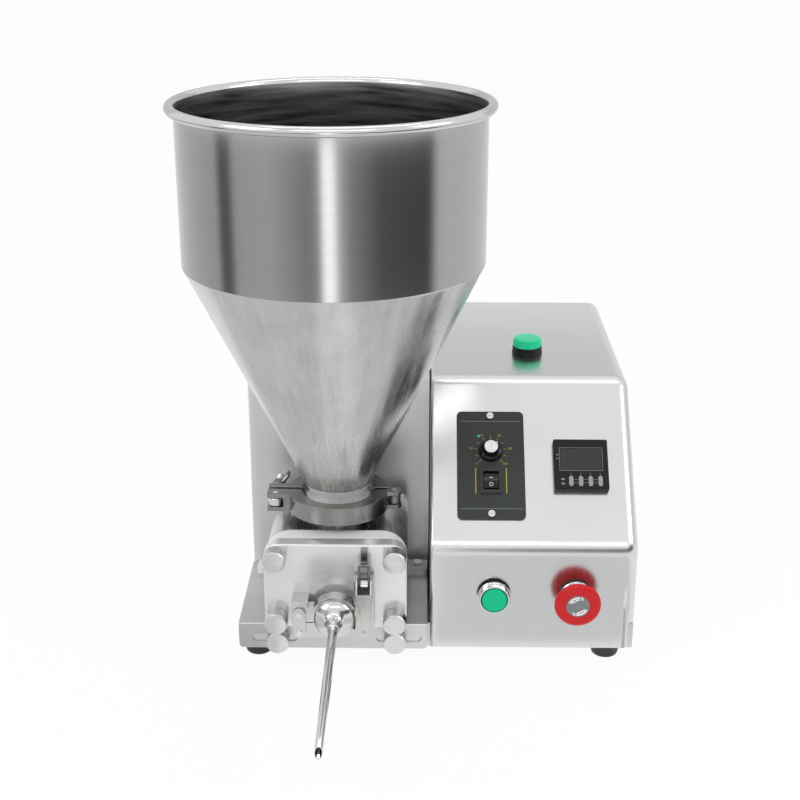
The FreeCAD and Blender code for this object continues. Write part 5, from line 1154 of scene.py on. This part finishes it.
def lettering(word, size, x, s, height):
    """Printed figures as a thin mesh, centred at (x, s)."""
    text = bpy.data.curves.new("figures", "FONT")
    text.body = word
    text.size = size
    text.align_x = "CENTER"
    text.align_y = "CENTER"
    text.extrude = INK_DEPTH / 2
    text.resolution_u = 3
    holder = bpy.data.objects.new("figures", text)
    flat = bpy.data.meshes.new_from_object(holder)
    bm = bmesh.new()
    bm.from_mesh(flat)
    bpy.data.objects.remove(holder)
    bpy.data.curves.remove(text)
    bpy.data.meshes.remove(flat)
    moved(bm, (x, s, height + INK_DEPTH / 2))
    return bm


plate_paint = grained(
    "dark face plate",
    (0.036, 0.041, 0.04),
    0.48,
    grain=900,
    spread=0.12,
    metallic=0.0,
    Specular_IOR_Level=0.3,
)
gold_ink = grained(
    "gold ink", (0.46, 0.33, 0.05), 0.4, grain=1500, depth=0.02, spread=0.2, metallic=0.3
)
polish("speed_panel", plate_paint, edge=0.25)

SPEED_X, SPEED_S = 53.6, 78.4
KNOB_S = 91.2
SWITCH_S = 62.8
PLATE_FACE = 2.0
DIAL_ZERO, DIAL_STEP = 225, 27
TICK_R = 13.4
marks = bmesh.new()
for s in (SPEED_S + 42, SPEED_S - 42):
    together(marks, printed(SPEED_X, s, 54, 0.5, PLATE_FACE))
draw("speed_panel_rules", lay_on_slope(marks), grey_disc)

ticks = bmesh.new()
for i in range(11):
    degrees = DIAL_ZERO - DIAL_STEP * i
    angle = math.radians(degrees)
    tick = printed(0, 0, 2.2 if i % 5 else 3.2, 0.45, PLATE_FACE)
    turned(tick, degrees, "Z")
    reach = Vector((math.cos(angle), math.sin(angle), 0)) * TICK_R
    moved(tick, Vector((SPEED_X, KNOB_S, 0)) + reach)
    together(ticks, tick)
for side in (-1, 1):
    together(ticks, printed(SPEED_X + side * 13.6, SWITCH_S, 0.9, 24, PLATE_FACE))
draw("speed_panel_gold", lay_on_slope(ticks), gold_ink)

figures = bmesh.new()
for i in range(0, 11, 2):
    angle = math.radians(DIAL_ZERO - DIAL_STEP * i)
    x, s = SPEED_X + 17.8 * math.cos(angle), KNOB_S + 17.2 * math.sin(angle)
    together(figures, lettering(str(10 * i), 3.2, x, s, PLATE_FACE))
draw("speed_panel_figures", lay_on_slope(figures), gold_ink)

led_finish = grained("green lamp", (0.1, 0.7, 0.4), 0.2, grain=900, depth=0.02, metallic=0.0)
LAMP = (
    (0, PLATE_FACE),
    (1.2, PLATE_FACE),
    (1.15, PLATE_FACE + 0.4),
    (0.8, PLATE_FACE + 0.8),
    (0, PLATE_FACE + 1.0),
)
lamp = spun(LAMP, (SPEED_X - 10.6, KNOB_S + 14.6, 0), steps=24)
draw("speed_panel_lamp", lay_on_slope(lamp), led_finish, angle=60)

gloss_black = grained(
    "knob plastic",
    (0.007, 0.007, 0.008),
    0.2,
    grain=900,
    depth=0.01,
    metallic=0.0,
    Specular_IOR_Level=0.3,
)
KNOB_COLUMNS = 96
SKIRT = (
    (0, -12),
    (3, -12),
    (3, 2.3),
    (10.2, 2.3),
    (10.5, 2.6),
    (10.4, 3.4),
    (9.3, 5.3),
    (8.0, 5.9),
    (7.6, 6.2),
    (6.5, 12.2),
    (6.2, 12.6),
    (0, 12.6),
)
skirt = spun(SKIRT, (SPEED_X, KNOB_S, 0), steps=KNOB_COLUMNS)
for vert in skirt.verts:
    off = Vector((vert.co.x - SPEED_X, vert.co.y - KNOB_S, 0))
    column = round(math.atan2(off.y, off.x) / math.tau * KNOB_COLUMNS)
    if vert.co.z > 6 and off.length > 6 and column % 3 == 0:
        vert.co -= off.normalized() * RIB_DEPTH
draw(
    "speed_knob_skirt",
    lay_on_slope(skirt),
    gloss_black,
    body="speed_knob",
    stands_for=("speed_knob",),
    angle=28,
)
cap_turned = turned_finish("turned cap", (0.78, 0.78, 0.78), 0.24, 90, anisotropy=0.7)
cap = spun(
    [(0, 12.6), (6.0, 12.6), (6.0, 13.3), (5.6, 13.7), (0.4, 13.7), (0.2, 13.5), (0, 13.5)],
    (SPEED_X, KNOB_S, 0),
)
draw("speed_knob_cap", lay_on_slope(cap), cap_turned, body="speed_knob", angle=28)
POINTER_TURN = -50
pointer = together(block(0, 5.6, 1.0, 3.4, 12.6, 12.95, edge=0.1), block(0, 7.0, 1.0, 0.6, 6.2, 12.9))
to_knob = Matrix.Translation((SPEED_X, KNOB_S, 0))
pointed = to_knob @ Matrix.Rotation(math.radians(POINTER_TURN), 4, "Z")
bmesh.ops.transform(pointer, matrix=pointed, verts=pointer.verts)
draw("speed_knob_pointer", lay_on_slope(pointer), white_ink, body="speed_knob")

polish("rocker_switch", gloss_black, body="rocker_switch", edge=0.3)
ROCKER_PIVOT = Vector((SPEED_X, SWITCH_S, -1.5))
ROCKER_TILT = 8
SIGN_BOTTOM, SIGN_TOP = 4.55, 4.62
ring_sign = spun(
    [(1.3, SIGN_BOTTOM), (1.75, SIGN_BOTTOM), (1.75, SIGN_TOP), (1.3, SIGN_TOP), (1.3, SIGN_BOTTOM)],
    steps=32,
)
moved(ring_sign, (0, -3.0, 0.6))
bar_sign = block(0, 0, 2.8, 0.6, SIGN_BOTTOM, SIGN_TOP)
moved(bar_sign, (0, 3.2, 0.5))
signs = together(bmesh.new(), ring_sign, bar_sign)
tilted = Matrix.Translation(ROCKER_PIVOT) @ Matrix.Rotation(math.radians(ROCKER_TILT), 4, "X")
bmesh.ops.transform(signs, matrix=tilted, verts=signs.verts)
draw("rocker_signs", lay_on_slope(signs), white_ink, body="rocker_switch")


# The timer: a square black moulded case clipped into the panel, a dark window with a grey outline,
# and four grey oblong keys joined to their places by thin printed lines.

TIMER_X = 133.1
WINDOW_S = 81.9
TIMER_FACE = 7.0
KEY_X, KEY_S, KEY_PITCH, KEYS = 123.7, 61, 8.6, 4
polish("timer_case", black_plastic, edge=0.2)
glass = grained(
    "dark window",
    (0.008, 0.008, 0.01),
    0.08,
    grain=60,
    depth=0.004,
    metallic=0.0,
    Coat_Weight=0.3,
)
draw("timer_window", lay_on_slope(block(TIMER_X, WINDOW_S, 36, 20.4, 6.25, 6.6, radius=0.5)), glass)
grey_ink = grained("grey ink", (0.3, 0.3, 0.31), 0.5, grain=1500, depth=0.02, metallic=0.0)
lines = bmesh.new()
for s in (WINDOW_S - 10.9, WINDOW_S + 10.9):
    together(lines, printed(TIMER_X, s, 38, 0.35, TIMER_FACE))
for side in (-1, 1):
    together(lines, printed(TIMER_X + side * 18.9, WINDOW_S, 0.35, 21.8, TIMER_FACE))
for i in range(KEYS):
    x = KEY_X + KEY_PITCH * i
    together(lines, printed(x, 67.7, 0.3, 2.6, TIMER_FACE))
    if i < KEYS - 1:
        for s in (59.5, 62.5):
            together(lines, printed(x + KEY_PITCH / 2, s, 3.4, 0.3, TIMER_FACE))
for s in (58.6, 62.8):
    together(lines, printed(116.6, s, 3.0, 1.6, TIMER_FACE, radius=0.79))
for s in (86.0, 82.4):
    together(lines, printed(112.4, s, 2.2, 0.8, TIMER_FACE))
draw("timer_print", lay_on_slope(lines), grey_ink)
key_plastic = grained("grey key", (0.34, 0.34, 0.35), 0.5, grain=1500, depth=0.1, metallic=0.0)
for i in range(KEYS):
    key = block(KEY_X + KEY_PITCH * i, KEY_S, 4.0, 9.8, 5.7, 7.7, radius=1.98, edge=0.45)
    body = f"timer_key_{i + 1}"
    draw(f"{body}_cap", lay_on_slope(key), key_plastic, body=body, stands_for=(body,), angle=35)
